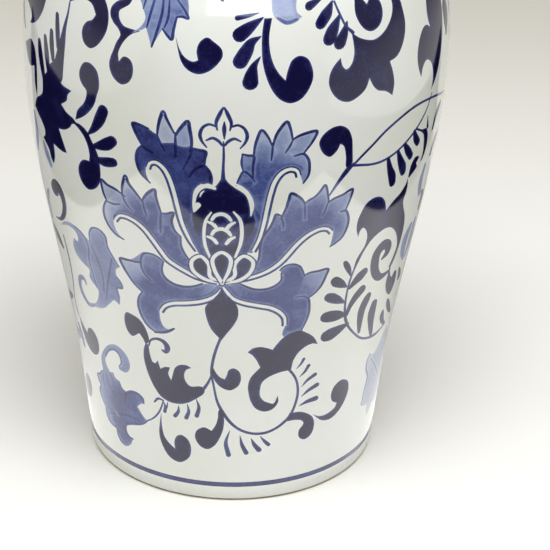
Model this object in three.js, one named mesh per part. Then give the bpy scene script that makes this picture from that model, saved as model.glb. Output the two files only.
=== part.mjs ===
// A porcelain ginger jar: a slip-cast body, a domed lid with a locating flange, and a bud
// knob that is luted onto the lid. Every piece is turned about the jar's own axis.
// Millimetres, +Z up, origin under the centre of the foot, on the surface the jar stands on.
import * as THREE from "three";

// Driving dimensions
const BELLY_RADIUS = 105; // the widest point of the jar
const BELLY_HEIGHT = 224;
const SHOULDER_HEIGHT = 310; // where the shoulder meets the neck
const SHOULDER_FULLNESS = 2.5; // 2 is an ellipse, and more is a squarer shoulder
const NECK_RADIUS = 54;
const LIP_HEIGHT = 328;
const WALL = 5.5;
const JOINT_GAP = 0.3; // clearance where one piece rests on another

// Foot: a turned ring with a rounded outer edge and a shallow recess inside it
const FOOT_RADIUS = 72.3;
const FOOT_EDGE = { out: 2.9, up: 5 };
const FOOT_RING_WIDTH = 7;
const RECESS_DEPTH = 6.5;
const FLOOR_TOP = 14;
const FLOOR_CORNER = 9; // radius of the corner between floor and wall

// Radius and height of the wall, between the foot's edge and the belly
const WALL_STATIONS = [
  [FOOT_RADIUS, FOOT_EDGE.up],
  [73.1, 13],
  [75.1, 30],
  [79.0, 60],
  [85.5, 95],
  [92.6, 130],
  [99.3, 165],
  [103.4, 195],
  [BELLY_RADIUS, BELLY_HEIGHT],
];

// Lid
const LID_RIM_RADIUS = 61;
const LID_RIM_THICKNESS = 4.4;
const LID_WALL = 4.5;
const DOME_RADIUS = 54;
const DOME_RISE = 37;
const FLANGE_RADIUS = 46.6;
const FLANGE_DEPTH = 13;
const FLANGE_WALL = 4;
const KNOB_LAND_RADIUS = 11.5; // the small flat on top of the dome, which the knob is luted to

// Knob: radius and height above the land, from the foot of the stem to the bud's tip
const KNOB_STATIONS = [
  [9.0, 2.6],
  [7.4, 5.4],
  [9.6, 9.0],
  [14.4, 13.6],
  [16.0, 18.6],
  [13.8, 24.0],
  [8.2, 28.2],
  [3.4, 31.0],
  [1.4, 33.0],
];
const KNOB_HEIGHT = 33.8;
const KNOB_COLLAR = { radius: 10.5, height: 2.2 };

// Facets
const BODY_SIDES = 64;
const LID_SIDES = 56;
const KNOB_SIDES = 36;

const glaze = new THREE.MeshStandardMaterial({ color: 0xe4e6de, roughness: 0.08, metalness: 0 });
const cobalt = new THREE.MeshStandardMaterial({ color: 0x2a3170, roughness: 0.08, metalness: 0 });

const at = (radius, height) => new THREE.Vector2(radius, height);

// A smooth line through stations given as [radius, height].
function through(stations, pieces) {
  return new THREE.SplineCurve(stations.map(([r, h]) => at(r, h))).getPoints(pieces);
}

// An arc of an ellipse, from one angle to another, in degrees.
function arc(centre, reach, rise, from, to, pieces) {
  const rad = THREE.MathUtils.degToRad;
  const clockwise = to < from;
  const curve = new THREE.EllipseCurve(centre.x, centre.y, reach, rise, rad(from), rad(to), clockwise);
  return curve.getPoints(pieces);
}

// The shoulder, a superellipse from the belly to the foot of the neck.
function shoulder(pieces) {
  const reach = BELLY_RADIUS - NECK_RADIUS;
  const rise = SHOULDER_HEIGHT - BELLY_HEIGHT;
  const power = 2 / SHOULDER_FULLNESS;
  return Array.from({ length: pieces + 1 }, (_, i) => {
    const turn = (Math.PI / 2) * (i / pieces);
    return at(
      NECK_RADIUS + reach * Math.cos(turn) ** power,
      BELLY_HEIGHT + rise * Math.sin(turn) ** power,
    );
  });
}

// The same line moved inwards by the thickness of the wall.
function inset(points, depth) {
  return points.map((point, i) => {
    const before = points[Math.max(i - 1, 0)];
    const after = points[Math.min(i + 1, points.length - 1)];
    const along = after.clone().sub(before).normalize();
    return at(point.x - along.y * depth, point.y + along.x * depth);
  });
}

// Leaves out points that lie closer than a tenth of a millimetre to the one before.
function thinned(points) {
  return points.filter((point, i) => i === 0 || point.distanceTo(points[i - 1]) > 0.1);
}

function turned(name, profile, sides, material) {
  const geometry = new THREE.LatheGeometry(thinned(profile), sides);
  geometry.rotateX(Math.PI / 2); // the lathe turns about Y, and the jar stands on Z
  const mesh = new THREE.Mesh(geometry, material);
  mesh.name = name;
  return mesh;
}

function jarBody() {
  const footInside = FOOT_RADIUS - FOOT_EDGE.out - FOOT_RING_WIDTH;
  const recess = [at(0, RECESS_DEPTH), at(footInside - 3, RECESS_DEPTH), at(footInside, RECESS_DEPTH - 3)];
  const footCentre = at(FOOT_RADIUS - FOOT_EDGE.out, FOOT_EDGE.up);
  const footEdge = arc(footCentre, FOOT_EDGE.out, FOOT_EDGE.up, -90, 0, 4);
  const wall = through(WALL_STATIONS, 16);
  const rounded = shoulder(9).slice(1);
  const outside = [...wall, ...rounded];

  // Neck, with a small fillet at its foot and a half-round lip
  const neckFillet = [at(NECK_RADIUS - 0.6, SHOULDER_HEIGHT + 3)];
  const half = WALL / 2;
  const lip = arc(at(NECK_RADIUS - half, LIP_HEIGHT - half), half, half, 0, 180, 5);

  // Inside, from the floor up to the neck, with half as many points as the outside
  const mouth = NECK_RADIUS - WALL;
  const inner = inset(outside, WALL)
    .filter((point) => point.x > mouth + 1 && point.y > FLOOR_TOP + FLOOR_CORNER)
    .filter((_, i) => i % 2 === 0);
  const wallAtFloor = inner[0].x - 1;
  const cornerCentre = at(wallAtFloor - FLOOR_CORNER, FLOOR_TOP + FLOOR_CORNER);
  const corner = arc(cornerCentre, FLOOR_CORNER, FLOOR_CORNER, 0, -90, 4);

  const profile = [
    ...recess,
    at(footInside, 0),
    ...footEdge,
    ...outside,
    ...neckFillet,
    ...lip,
    at(mouth, SHOULDER_HEIGHT - WALL + 1),
    ...inner.reverse(),
    ...corner,
    at(0, FLOOR_TOP),
  ];
  return turned("jar_body", profile, BODY_SIDES, glaze);
}

// Height of the land on top of the dome.
const rimUnderside = LIP_HEIGHT + JOINT_GAP;
const rimTop = rimUnderside + LID_RIM_THICKNESS;
const landTurn = Math.acos(KNOB_LAND_RADIUS / DOME_RADIUS);
const landHeight = rimTop + DOME_RISE * Math.sin(landTurn);

function lid() {
  const flangeInside = FLANGE_RADIUS - FLANGE_WALL;
  const flangeFoot = rimUnderside - FLANGE_DEPTH;
  const landDegrees = THREE.MathUtils.radToDeg(landTurn);
  const insideRise = LID_RIM_THICKNESS + DOME_RISE - LID_WALL;
  const inside = arc(at(0, rimUnderside), flangeInside, insideRise, 90, 0, 7);
  const bead = FLANGE_WALL / 2;
  const flangeEnd = arc(at(FLANGE_RADIUS - bead, flangeFoot + bead), bead, bead, 180, 360, 4);
  const half = LID_RIM_THICKNESS / 2;
  const rimEdge = arc(at(LID_RIM_RADIUS - half, rimUnderside + half), half, half, -90, 90, 5);
  const dome = arc(at(0, rimTop), DOME_RADIUS, DOME_RISE, 4, landDegrees, 10);
  const profile = [
    ...inside,
    ...flangeEnd,
    at(FLANGE_RADIUS, rimUnderside),
    ...rimEdge,
    ...dome,
    at(0, landHeight),
  ];
  return turned("lid", profile, LID_SIDES, glaze);
}

function lidKnob() {
  const foot = landHeight + JOINT_GAP;
  const half = KNOB_COLLAR.height / 2;
  const collar = arc(at(KNOB_COLLAR.radius - half, foot + half), half, half, -90, 90, 4);
  const bud = through(KNOB_STATIONS, 16).map((point) => at(point.x, point.y + foot));
  const tip = at(0, foot + KNOB_HEIGHT);
  return turned("lid_knob", [at(0, foot), ...collar, ...bud, tip], KNOB_SIDES, cobalt);
}

const jar = new THREE.Group();
jar.add(jarBody(), lid(), lidKnob());

export default jar;
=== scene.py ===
# A blue-and-white porcelain ginger jar, painted in cobalt under a clear gloss glaze.
import math

import bpy
import numpy as np
from mathutils import Matrix, Vector, kdtree
from mathutils.geometry import delaunay_2d_cdt


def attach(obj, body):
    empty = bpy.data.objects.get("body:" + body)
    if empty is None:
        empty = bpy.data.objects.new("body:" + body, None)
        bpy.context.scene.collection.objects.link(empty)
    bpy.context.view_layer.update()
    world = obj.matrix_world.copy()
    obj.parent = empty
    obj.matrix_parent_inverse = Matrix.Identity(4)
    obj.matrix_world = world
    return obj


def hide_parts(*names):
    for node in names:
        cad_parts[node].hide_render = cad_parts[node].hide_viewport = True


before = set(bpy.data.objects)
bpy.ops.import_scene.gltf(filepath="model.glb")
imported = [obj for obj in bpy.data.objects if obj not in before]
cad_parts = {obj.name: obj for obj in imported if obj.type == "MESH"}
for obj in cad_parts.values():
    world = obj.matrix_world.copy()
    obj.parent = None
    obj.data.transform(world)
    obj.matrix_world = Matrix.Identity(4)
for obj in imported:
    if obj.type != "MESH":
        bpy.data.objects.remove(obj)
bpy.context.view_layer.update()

mm = 0.001
fullTurn = 2 * math.pi
sharpCorner = 30  # degrees of turn from which an edge counts as a corner
edgeRadius = 0.9  # mm, how round the glaze leaves a corner
rimWidth = 1.25  # mm from the edge of a wash to where it has its full depth
clearance = 0.45  # mm that the mesh's loose points keep from a painted edge


def linear(hexColour):
    channels = [int(hexColour[i : i + 2], 16) / 255 for i in (1, 3, 5)]
    lit = [c / 12.92 if c <= 0.04045 else ((c + 0.055) / 1.055) ** 2.4 for c in channels]
    return (*lit, 1.0)


def perMetre(size):
    # the noise scale whose features are about this many millimetres across
    return 1 / (size * mm)


def addNode(tree, kind, settings=None, links=None):
    # settings go on the node or on an input of that name, links join an input to another node's output
    node = tree.nodes.new(kind)
    for name, value in (settings or {}).items():
        if name in node.inputs:
            node.inputs[name].default_value = value
        else:
            setattr(node, name, value)
    for name, source in (links or {}).items():
        tree.links.new(source, node.inputs[name])
    return node


def columnOf(nodeName):
    # a turned node's profile as (radius, height) in mm, walked from the lower point on its axis
    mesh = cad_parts[nodeName].data
    spots = [tuple(round(c / mm, 3) for c in v.co) for v in mesh.vertices]
    inPlane = [abs(x) < 0.02 and y < 0.02 for x, y, z in spots]
    joined = {}
    for edge in mesh.edges:
        a, b = edge.vertices
        if inPlane[a] and inPlane[b] and spots[a] != spots[b]:
            joined.setdefault(spots[a], set()).add(spots[b])
            joined.setdefault(spots[b], set()).add(spots[a])
    start = min((s for s in joined if abs(s[1]) < 0.02), key=lambda s: s[2])
    walk = [start]
    while True:
        onward = [s for s in joined[walk[-1]] if s not in walk]
        if not onward:
            break
        walk.append(onward[0])
    return [np.array((max(-y, 0.0), z)) for x, y, z in walk]


def splineThrough(stations, step):
    # a centripetal Catmull-Rom line through rows of numbers whose first two are a place in mm
    pts = np.array(stations, float)
    pts = np.vstack([2 * pts[0] - pts[1], pts, 2 * pts[-1] - pts[-2]])
    gaps = np.linalg.norm(np.diff(pts[:, :2], axis=0), axis=1).clip(1e-6)
    knots = np.concatenate([[0], np.cumsum(np.sqrt(gaps))])
    out = []
    for i in range(1, len(pts) - 2):
        count = max(int(math.ceil(gaps[i] / step)), 1)
        t = np.linspace(knots[i], knots[i + 1], count, endpoint=False)[:, None]
        t0, t1, t2, t3 = knots[i - 1 : i + 3]
        a1 = (t1 - t) / (t1 - t0) * pts[i - 1] + (t - t0) / (t1 - t0) * pts[i]
        a2 = (t2 - t) / (t2 - t1) * pts[i] + (t - t1) / (t2 - t1) * pts[i + 1]
        a3 = (t3 - t) / (t3 - t2) * pts[i + 1] + (t - t2) / (t3 - t2) * pts[i + 2]
        b1 = (t2 - t) / (t2 - t0) * a1 + (t - t0) / (t2 - t0) * a2
        b2 = (t3 - t) / (t3 - t1) * a2 + (t - t1) / (t3 - t1) * a3
        out.append((t2 - t) / (t2 - t1) * b1 + (t - t1) / (t2 - t1) * b2)
    out.append(pts[-2][None])
    return np.vstack(out)


def softened(stations):
    # rounds each sharp corner of a profile, as glaze rounds a sponged clay edge
    out = [stations[0]]
    for before, here, after in zip(stations, stations[1:], stations[2:]):
        into, away = here - before, after - here
        cosine = into @ away / np.linalg.norm(into) / np.linalg.norm(away)
        if math.degrees(math.acos(np.clip(cosine, -1, 1))) < sharpCorner:
            out.append(here)
            continue
        a = here - into / np.linalg.norm(into) * min(edgeRadius, np.linalg.norm(into) / 2.2)
        b = here + away / np.linalg.norm(away) * min(edgeRadius, np.linalg.norm(away) / 2.2)
        out += [(1 - t) ** 2 * a + 2 * t * (1 - t) * here + t * t * b for t in (0, 0.25, 0.5, 0.75, 1)]
    return out + [stations[-1]]


def turnedProfile(nodeName, zeroAt):
    # dense radius and height against the length along the profile, which is 0 at zeroAt
    wall = splineThrough(softened(columnOf(nodeName)), 0.5)
    wall[:, 0] = wall[:, 0].clip(0)
    wall[:, 1] = wall[:, 1].clip(0)
    along = np.concatenate([[0], np.cumsum(np.linalg.norm(np.diff(wall, axis=0), axis=1))])
    keep = np.concatenate([[True], np.diff(along) > 1e-6])
    wall, along = wall[keep], along[keep]
    along -= along[np.argmin(np.linalg.norm(wall - np.array(zeroAt), axis=1))]
    slope = np.gradient(wall, along, axis=0)
    outward = np.stack([slope[:, 1], -slope[:, 0]], 1)
    outward /= np.linalg.norm(outward, axis=1)[:, None]
    return {"along": along, "radius": wall[:, 0], "height": wall[:, 1], "outward": outward}


# A painted shape has an outline in mm round the jar and up its wall, and a spine of mesh points inside it.
# Its tone is how much cobalt the brush left, from 0 for bare white to 1 for the full dark wash.
# Its fade, if any, is (along, up, near, far, tone): between near and far of that place it turns to that tone.
ink, line, blue, pale, bare = 1.0, 0.9, 0.66, 0.36, 0.0


def stroke(tone, *points):
    # one pull of the brush through (along, up, width), with round ends
    run = sum(math.dist(a[:2], b[:2]) for a, b in zip(points, points[1:]))
    path = splineThrough(points, min(max(run / 22, 0.45), 1.3))
    middle, half = path[:, :2], path[:, 2:].clip(0.35) / 2
    heading = np.gradient(middle, axis=0)
    heading /= np.linalg.norm(heading, axis=1)[:, None]
    across = np.stack([-heading[:, 1], heading[:, 0]], 1)
    ends = []
    for here, ahead, side, reach in (
        (middle[-1], heading[-1], across[-1], half[-1]),
        (middle[0], -heading[0], -across[0], half[0]),
    ):
        turns = np.linspace(0, math.pi, 7)[1:-1, None]
        ends.append(here + reach * (np.cos(turns) * side + np.sin(turns) * ahead))
    outline = np.vstack([middle + across * half, ends[0], (middle - across * half)[::-1], ends[1]])
    return {"tone": tone, "outline": outline, "spine": middle[:: 2 if half.max() > 1.5 else 1]}


def patch(tone, *edge, fade=None):
    # a filled shape with a smooth edge through (along, up), where a third value marks a sharp tip
    tips = [i for i, p in enumerate(edge) if len(p) > 2]
    places = [p[:2] for p in edge]
    if tips:
        turned = places[tips[0] :] + places[: tips[0]] + [places[tips[0]]]
        stops = [i - tips[0] for i in tips] + [len(places)]
        outline = np.vstack([splineThrough(turned[a : b + 1], 1.0)[:-1] for a, b in zip(stops, stops[1:])])
    else:
        looped = splineThrough(places[-3:] + places + places[:3], 1.0)
        starts = np.where(np.linalg.norm(looped - places[0], axis=1) < 1e-6)[0]
        outline = looped[starts[0] : starts[-1]]
    # a second row of points inside the edge, where the thin rim of the wash gives way to its full depth
    ahead, behind = np.roll(outline, -1, axis=0), np.roll(outline, 1, axis=0)
    heading = ahead - behind
    heading /= np.linalg.norm(heading, axis=1)[:, None].clip(1e-6)
    turning = np.sign(np.sum(outline[:, 0] * ahead[:, 1] - ahead[:, 0] * outline[:, 1]))
    inset = outline + rimWidth * turning * np.stack([-heading[:, 1], heading[:, 0]], 1)
    return {"tone": tone, "outline": outline, "spine": inset[::2], "fade": fade}


def trimmed(tone, width, *edge):
    # a brush line that follows an edge through (along, up), thinning to both ends
    swell = [0.899 + 0.551 * math.sin(math.pi * i / (len(edge) - 1)) for i in range(len(edge))]
    return stroke(tone, *((x, y, width * share) for (x, y), share in zip(edge, swell)))


def edging(tone, side, *path):
    # a petal's turned-back rim: wash up to a wiped white line, and a dark line just outside it
    walk = np.array(path, float)
    heading = np.gradient(walk, axis=0)
    heading /= np.linalg.norm(heading, axis=1)[:, None]
    outside = side * np.stack([-heading[:, 1], heading[:, 0]], 1)
    return [
        stroke(tone, *((x, y, 3.8) for x, y in (walk - 1.3 * outside)[:-1])),
        trimmed(line, 0.8, *(walk - 1.15 * outside)),
        trimmed(line, 1.4, *(walk + 1.25 * outside)),
        trimmed(bare, 1.3, *path),
    ]


def mirrored(shapes, axis):
    flipped = []
    for shape in shapes:
        outline, spine = (shape[part] * (-1, 1) + (2 * axis, 0) for part in ("outline", "spine"))
        flipped.append({**shape, "outline": outline, "spine": spine})
    return flipped


flowerAxis = -4.2  # the big flower stands this far round from the front, in mm


def upperPetals():
    left = patch(blue + 0.1, (-13, 159, 1), (-17.2, 165), (-21.3, 173), (-23.4, 182), (-25.6, 191),
                 (-28.2, 199), (-31, 204.5), (-35, 207.6), (-39, 207.8), (-41.6, 205), (-42.4, 201),
                 (-41.6, 197.2), (-40, 194, 1), (-42.4, 196.4), (-45.2, 198.4), (-47.2, 202), (-47.6, 207),
                 (-46.6, 211.3), (-44.5, 214.4, 1), (-46.6, 218), (-48.6, 222), (-49.5, 225.3, 1),
                 (-45.9, 225.4), (-41.8, 224.3), (-38.2, 222.5), (-36.6, 221.8, 1), (-36.2, 226),
                 (-35.4, 230), (-33.4, 234.8, 1), (-31.6, 230.6), (-29.4, 227), (-27.5, 223, 1),
                 (-25.5, 226), (-23.2, 229), (-21.1, 231.4, 1), (-20.5, 227.5), (-19.5, 222.5),
                 (-19.3, 217.1, 1), (-16.4, 216.6), (-12.3, 215.7, 1), (-12.8, 211.6), (-12.8, 208.2, 1),
                 (-10.5, 204.6), (-9.6, 200.7), (-10.2, 197.4, 1), (-13.6, 198), (-16.4, 196.2),
                 (-18.2, 193), (-18.9, 187), (-18.8, 180), (-17.5, 173), (-14.5, 166),
                 fade=(-31, 190, 30, 60, pale + 0.1))
    right = patch(blue - 0.02, (6, 158, 1), (9.2, 165), (10.6, 173), (9.8, 181), (9.9, 188), (7.3, 195),
                  (1.6, 197.6, 1), (3, 201.6), (5, 205.7, 1), (4.3, 210), (4.5, 215.4, 1), (7.3, 214.4),
                  (10.2, 213.6, 1), (10.5, 218), (11.4, 222.5), (13.8, 228, 1), (16.4, 224.8),
                  (18.4, 221.8), (19.3, 219.8, 1), (20, 222.5), (21.4, 226.2), (24.1, 228.7),
                  (26.1, 231.6, 1), (27.5, 228), (28.4, 224.4), (29.1, 221.6, 1), (31.4, 222.7),
                  (35.5, 223.9), (41.4, 224.3, 1), (39.5, 219.8), (36.8, 215.3), (34.5, 213, 1),
                  (36.8, 209.8), (37.7, 205.3), (37.1, 200.7), (34.5, 196.2, 1), (33.4, 200), (32.6, 203.5),
                  (30.9, 205.4), (28.2, 206.5), (25, 206), (21.8, 203.3), (19.4, 198.5), (18.8, 195),
                  (17.3, 188), (15.9, 179.1), (14.1, 170.9), (11.8, 163.6), (9.5, 158.8),
                  fade=(10, 188, 14, 40, pale - 0.04))
    shapes = [
        left,
        right,
        patch(pale - 0.1, (-36.4, 222), (-36, 226), (-33.4, 234, 1), (-31.6, 230.4), (-29.4, 226.8),
              (-27.6, 222.6), (-27.5, 218.8, 1), (-31, 218.2), (-35.4, 217.8)),
        patch(pale, (-27.2, 222.4), (-25.5, 225.8), (-21.3, 230.8, 1), (-20.6, 227), (-19.6, 222),
              (-19.8, 218, 1), (-23, 217.2), (-27, 218.2)),
    ]
    shapes += [
        trimmed(line, 1.2, (-44.5, 214.4), (-46.6, 218), (-48.6, 222), (-49.4, 225), (-45.9, 225.2),
                (-41, 224)),
        trimmed(line, 1.3, (-36.4, 222), (-36, 226), (-35, 230.5), (-33.4, 234.4), (-31.6, 230.6),
                (-28, 224)),
        trimmed(line, 1.4, (-27.3, 222.6), (-25.5, 226), (-21.3, 231), (-20.5, 227.5), (-19.4, 220),
                (-20, 214)),
        trimmed(line, 1.1, (-27.4, 224), (-27.3, 218), (-27.2, 211)),
        trimmed(line, 0.9, (-36.5, 221.6), (-34.8, 217.5), (-32.6, 213.4)),
        trimmed(line, 1.1, (-19.3, 217), (-16.4, 216.4), (-12.5, 215.5), (-12.9, 211.6), (-13.2, 207.5)),
        trimmed(line, 1.1, (-12.8, 208), (-15.6, 207), (-18.4, 204.6), (-20.4, 201)),
        trimmed(line, 1.2, (-12.6, 207.8), (-10.6, 204.6), (-9.8, 200.8), (-10.4, 197.6), (-13.6, 198)),
        trimmed(line, 1.0, (-18.9, 217), (-20.5, 211.5), (-23.4, 205)),
        trimmed(line, 1.1, (-44.4, 214.2), (-46.8, 210.8), (-47.5, 205.5), (-45.2, 198.8), (-40.2, 194.2)),
        trimmed(line, 1.0, (-44.5, 214.2), (-42, 212.4), (-39, 211.4)),
        *edging(blue + 0.1, 1, (-16.5, 158.4), (-20.2, 164.6), (-23.8, 173.4), (-25.9, 182), (-28.1, 191.6),
                (-30.8, 199.8), (-33.6, 204.2), (-37.2, 206.3), (-40.2, 205.2), (-41.2, 202.5)),
        trimmed(line, 1.1, (4.8, 214.9), (7.3, 214.2), (10.2, 213.6), (9.9, 208), (10, 201.5)),
        trimmed(line, 1.1, (10.2, 214), (10.6, 218), (11.6, 222.5), (13.8, 227.6), (16.6, 224.4),
                (19, 219)),
        trimmed(line, 1.2, (19.4, 219), (20.2, 222.6), (21.8, 226.3), (26, 231.2), (27.5, 228), (29, 221)),
        trimmed(line, 1.2, (28.8, 221.2), (31.6, 222.8), (35.5, 223.9), (41, 224.1), (39.3, 219.6),
                (34.6, 213.2)),
        trimmed(line, 0.9, (19.2, 220.5), (19.1, 216), (18.6, 211)),
        trimmed(line, 0.9, (29.1, 221.4), (27.6, 218), (25.5, 214.6)),
        trimmed(line, 1.1, (30, 212.3), (34.4, 212.8), (36.9, 209.6), (37.6, 205), (37, 200.4),
                (34.6, 196.6)),
        trimmed(line, 0.9, (2.2, 198.2), (3.6, 202), (5.6, 205.4), (8.4, 203.4), (11, 199.6)),
        trimmed(line, 0.9, (4.8, 214.6), (4.5, 210), (5.2, 206)),
        *edging(blue - 0.06, -1, (10.6, 159), (13.4, 166), (15.5, 175), (17, 184), (18.6, 192.6),
                (20.8, 199.6), (24.2, 204), (28.4, 205.3), (31.4, 203.8), (32.2, 201)),
    ]
    return shapes


def middlePetals():
    left = patch(blue, (-8.5, 141, 1), (-13, 142), (-18, 143.5), (-23, 146), (-28.5, 149.2), (-32.5, 153),
                 (-36.5, 158.5), (-41, 164.5), (-46, 169), (-51.5, 171.8), (-57, 171.8), (-60.4, 169.3),
                 (-61, 164.5), (-59.4, 160), (-57.4, 157.6), (-55, 156, 1), (-59.5, 157.2), (-63.2, 160),
                 (-66, 164.1), (-67.4, 169.1), (-66.6, 173.6), (-65, 176.8, 1), (-67.2, 181),
                 (-68.2, 188.6, 1), (-64.5, 186.3), (-59, 185.2), (-55.6, 183.6, 1), (-55.6, 187.3),
                 (-55, 190.9), (-53.6, 195.2, 1), (-51.8, 190.9), (-48.6, 187.3), (-44.4, 182.8, 1),
                 (-43.2, 185.4), (-40.9, 188.8), (-37.7, 191.2, 1), (-37.3, 187.3), (-36.2, 182.5),
                 (-34.6, 177.7, 1), (-31.8, 178.2), (-28.2, 179.6, 1), (-29.4, 173.6), (-27.7, 168.6),
                 (-24.6, 165.6), (-24.5, 160.9), (-22.8, 155.8), (-20.6, 152.4), (-20.4, 148), (-17.4, 144),
                 fade=(-34, 162, 18, 36, pale - 0.1))
    right = patch(blue, (5.5, 143, 1), (11, 144.4), (16.5, 147), (21.5, 150.4), (25.5, 154.8),
                  (29.5, 159.8), (33.5, 164), (38.5, 167.4), (44.5, 169.1), (49, 168.4), (51.1, 165),
                  (50.6, 160), (49.6, 155, 1), (52.7, 156), (56.4, 159.1), (59.1, 163.6), (59.9, 169.1),
                  (59.2, 172.7), (57.7, 175.5, 1), (59.5, 179.5), (60.9, 183.6), (61.8, 188.8, 1),
                  (60, 185.6), (55.5, 185.2), (50.9, 184.1), (48.2, 182.7, 1), (47.7, 186.4), (47.1, 190.4),
                  (45.9, 193.9, 1), (43.6, 190.4), (40.9, 187.8), (38.2, 187.4), (35.5, 185, 1),
                  (33.6, 188), (31.4, 190), (28.6, 191.9, 1), (27.7, 188), (26.4, 183.6), (23.8, 177.7, 1),
                  (21.4, 180.6, 1), (20.6, 177.3), (19.1, 173.6), (17.3, 170.6), (15, 166.4), (13.8, 161.8),
                  (13.5, 157.3), (13.6, 152.7), (11.8, 149), fade=(30, 160, 20, 34, pale))
    return [
        left,
        right,
        trimmed(line, 1.2, (-65, 176.6), (-67, 181), (-68, 188), (-64.5, 186.2), (-59, 185), (-54, 182.6)),
        trimmed(line, 0.9, (-65.2, 176.2), (-61, 175.9), (-57, 177)),
        trimmed(line, 1.3, (-55.5, 183), (-55.5, 187.5), (-53.6, 194.8), (-51.8, 190.9), (-48.6, 187.3),
                (-44, 182)),
        trimmed(line, 1.2, (-44.6, 182.4), (-43.2, 185.4), (-40.9, 188.6), (-37.8, 190.8), (-37.2, 187),
                (-34.4, 177.4)),
        trimmed(line, 0.9, (-44.3, 183), (-43.4, 178.5), (-42, 174)),
        trimmed(line, 1.0, (-34.6, 178.4), (-34.9, 173), (-34.8, 166)),
        trimmed(line, 1.1, (-34.6, 177.6), (-31.6, 178), (-28.4, 179.2), (-29.2, 174), (-27.6, 168.6),
                (-24.6, 165.4)),
        trimmed(line, 0.9, (-24.6, 165.6), (-24.4, 160), (-22.6, 155.4), (-20.4, 152)),
        trimmed(line, 0.8, (-55.6, 183), (-53.4, 178.6), (-50, 175)),
        trimmed(line, 1.1, (-65.2, 176.6), (-66.8, 172.6), (-67, 168), (-64.8, 162.4), (-60, 157.6),
                (-55.2, 156)),
        trimmed(line, 0.9, (-60.9, 166.5), (-60.4, 169.4), (-57, 171.7), (-51.5, 171.7), (-46, 169),
                (-41, 164.4), (-36.5, 158.4), (-32.5, 152.8), (-28.4, 149), (-20, 144.6)),
        *edging(blue, 1, (-7, 139.6), (-13, 140.7), (-17.6, 142.1), (-22, 144.4), (-27, 147.2),
                (-31.4, 150.2), (-35, 155), (-39.2, 160.8), (-43.6, 166), (-48.4, 169.3), (-53.6, 170.6),
                (-57.6, 169.8), (-59.8, 166.6)),
        trimmed(line, 1.1, (48.2, 182.9), (51, 184.3), (55.5, 185.2), (61.4, 187), (60.4, 182),
                (57.8, 175.6)),
        trimmed(line, 1.0, (48.2, 182.6), (47.8, 186.4), (46, 193.4), (43.6, 190.4), (40.9, 187.8),
                (35.6, 185)),
        trimmed(line, 1.2, (35.5, 185), (33.6, 188), (28.7, 191.5), (27.6, 188), (26.2, 183),
                (23.8, 177.6)),
        trimmed(line, 1.1, (24.6, 178.4), (21.5, 180.2), (20.4, 177), (19, 173.6), (15, 166.6)),
        trimmed(line, 0.8, (35.6, 185.2), (35.8, 180), (35.9, 175)),
        trimmed(line, 0.8, (47.9, 183), (46.4, 178.6), (45, 175)),
        trimmed(line, 0.8, (24, 178), (25, 174.6), (25.2, 171)),
        trimmed(line, 0.9, (14.8, 166), (13.9, 161), (13.6, 156), (12.4, 150)),
        trimmed(line, 1.1, (55, 175.4), (57.8, 175.4), (59.4, 172), (59.6, 167), (56.2, 159.2),
                (49.8, 155.4)),
        trimmed(line, 0.8, (51, 166), (49.2, 168.3), (44.5, 169), (38.5, 167.2), (33.5, 163.8),
                (29.5, 159.6), (25.5, 154.6), (18, 148)),
        *edging(blue, -1, (3.4, 140.9), (9.1, 142.4), (14.6, 144.4), (19.4, 147), (23.8, 150.6),
                (27.6, 155), (31.2, 159.6), (35, 163.4), (39.4, 166.3), (44.5, 167.7), (48.2, 166.7),
                (50, 164.4)),
    ]


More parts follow.
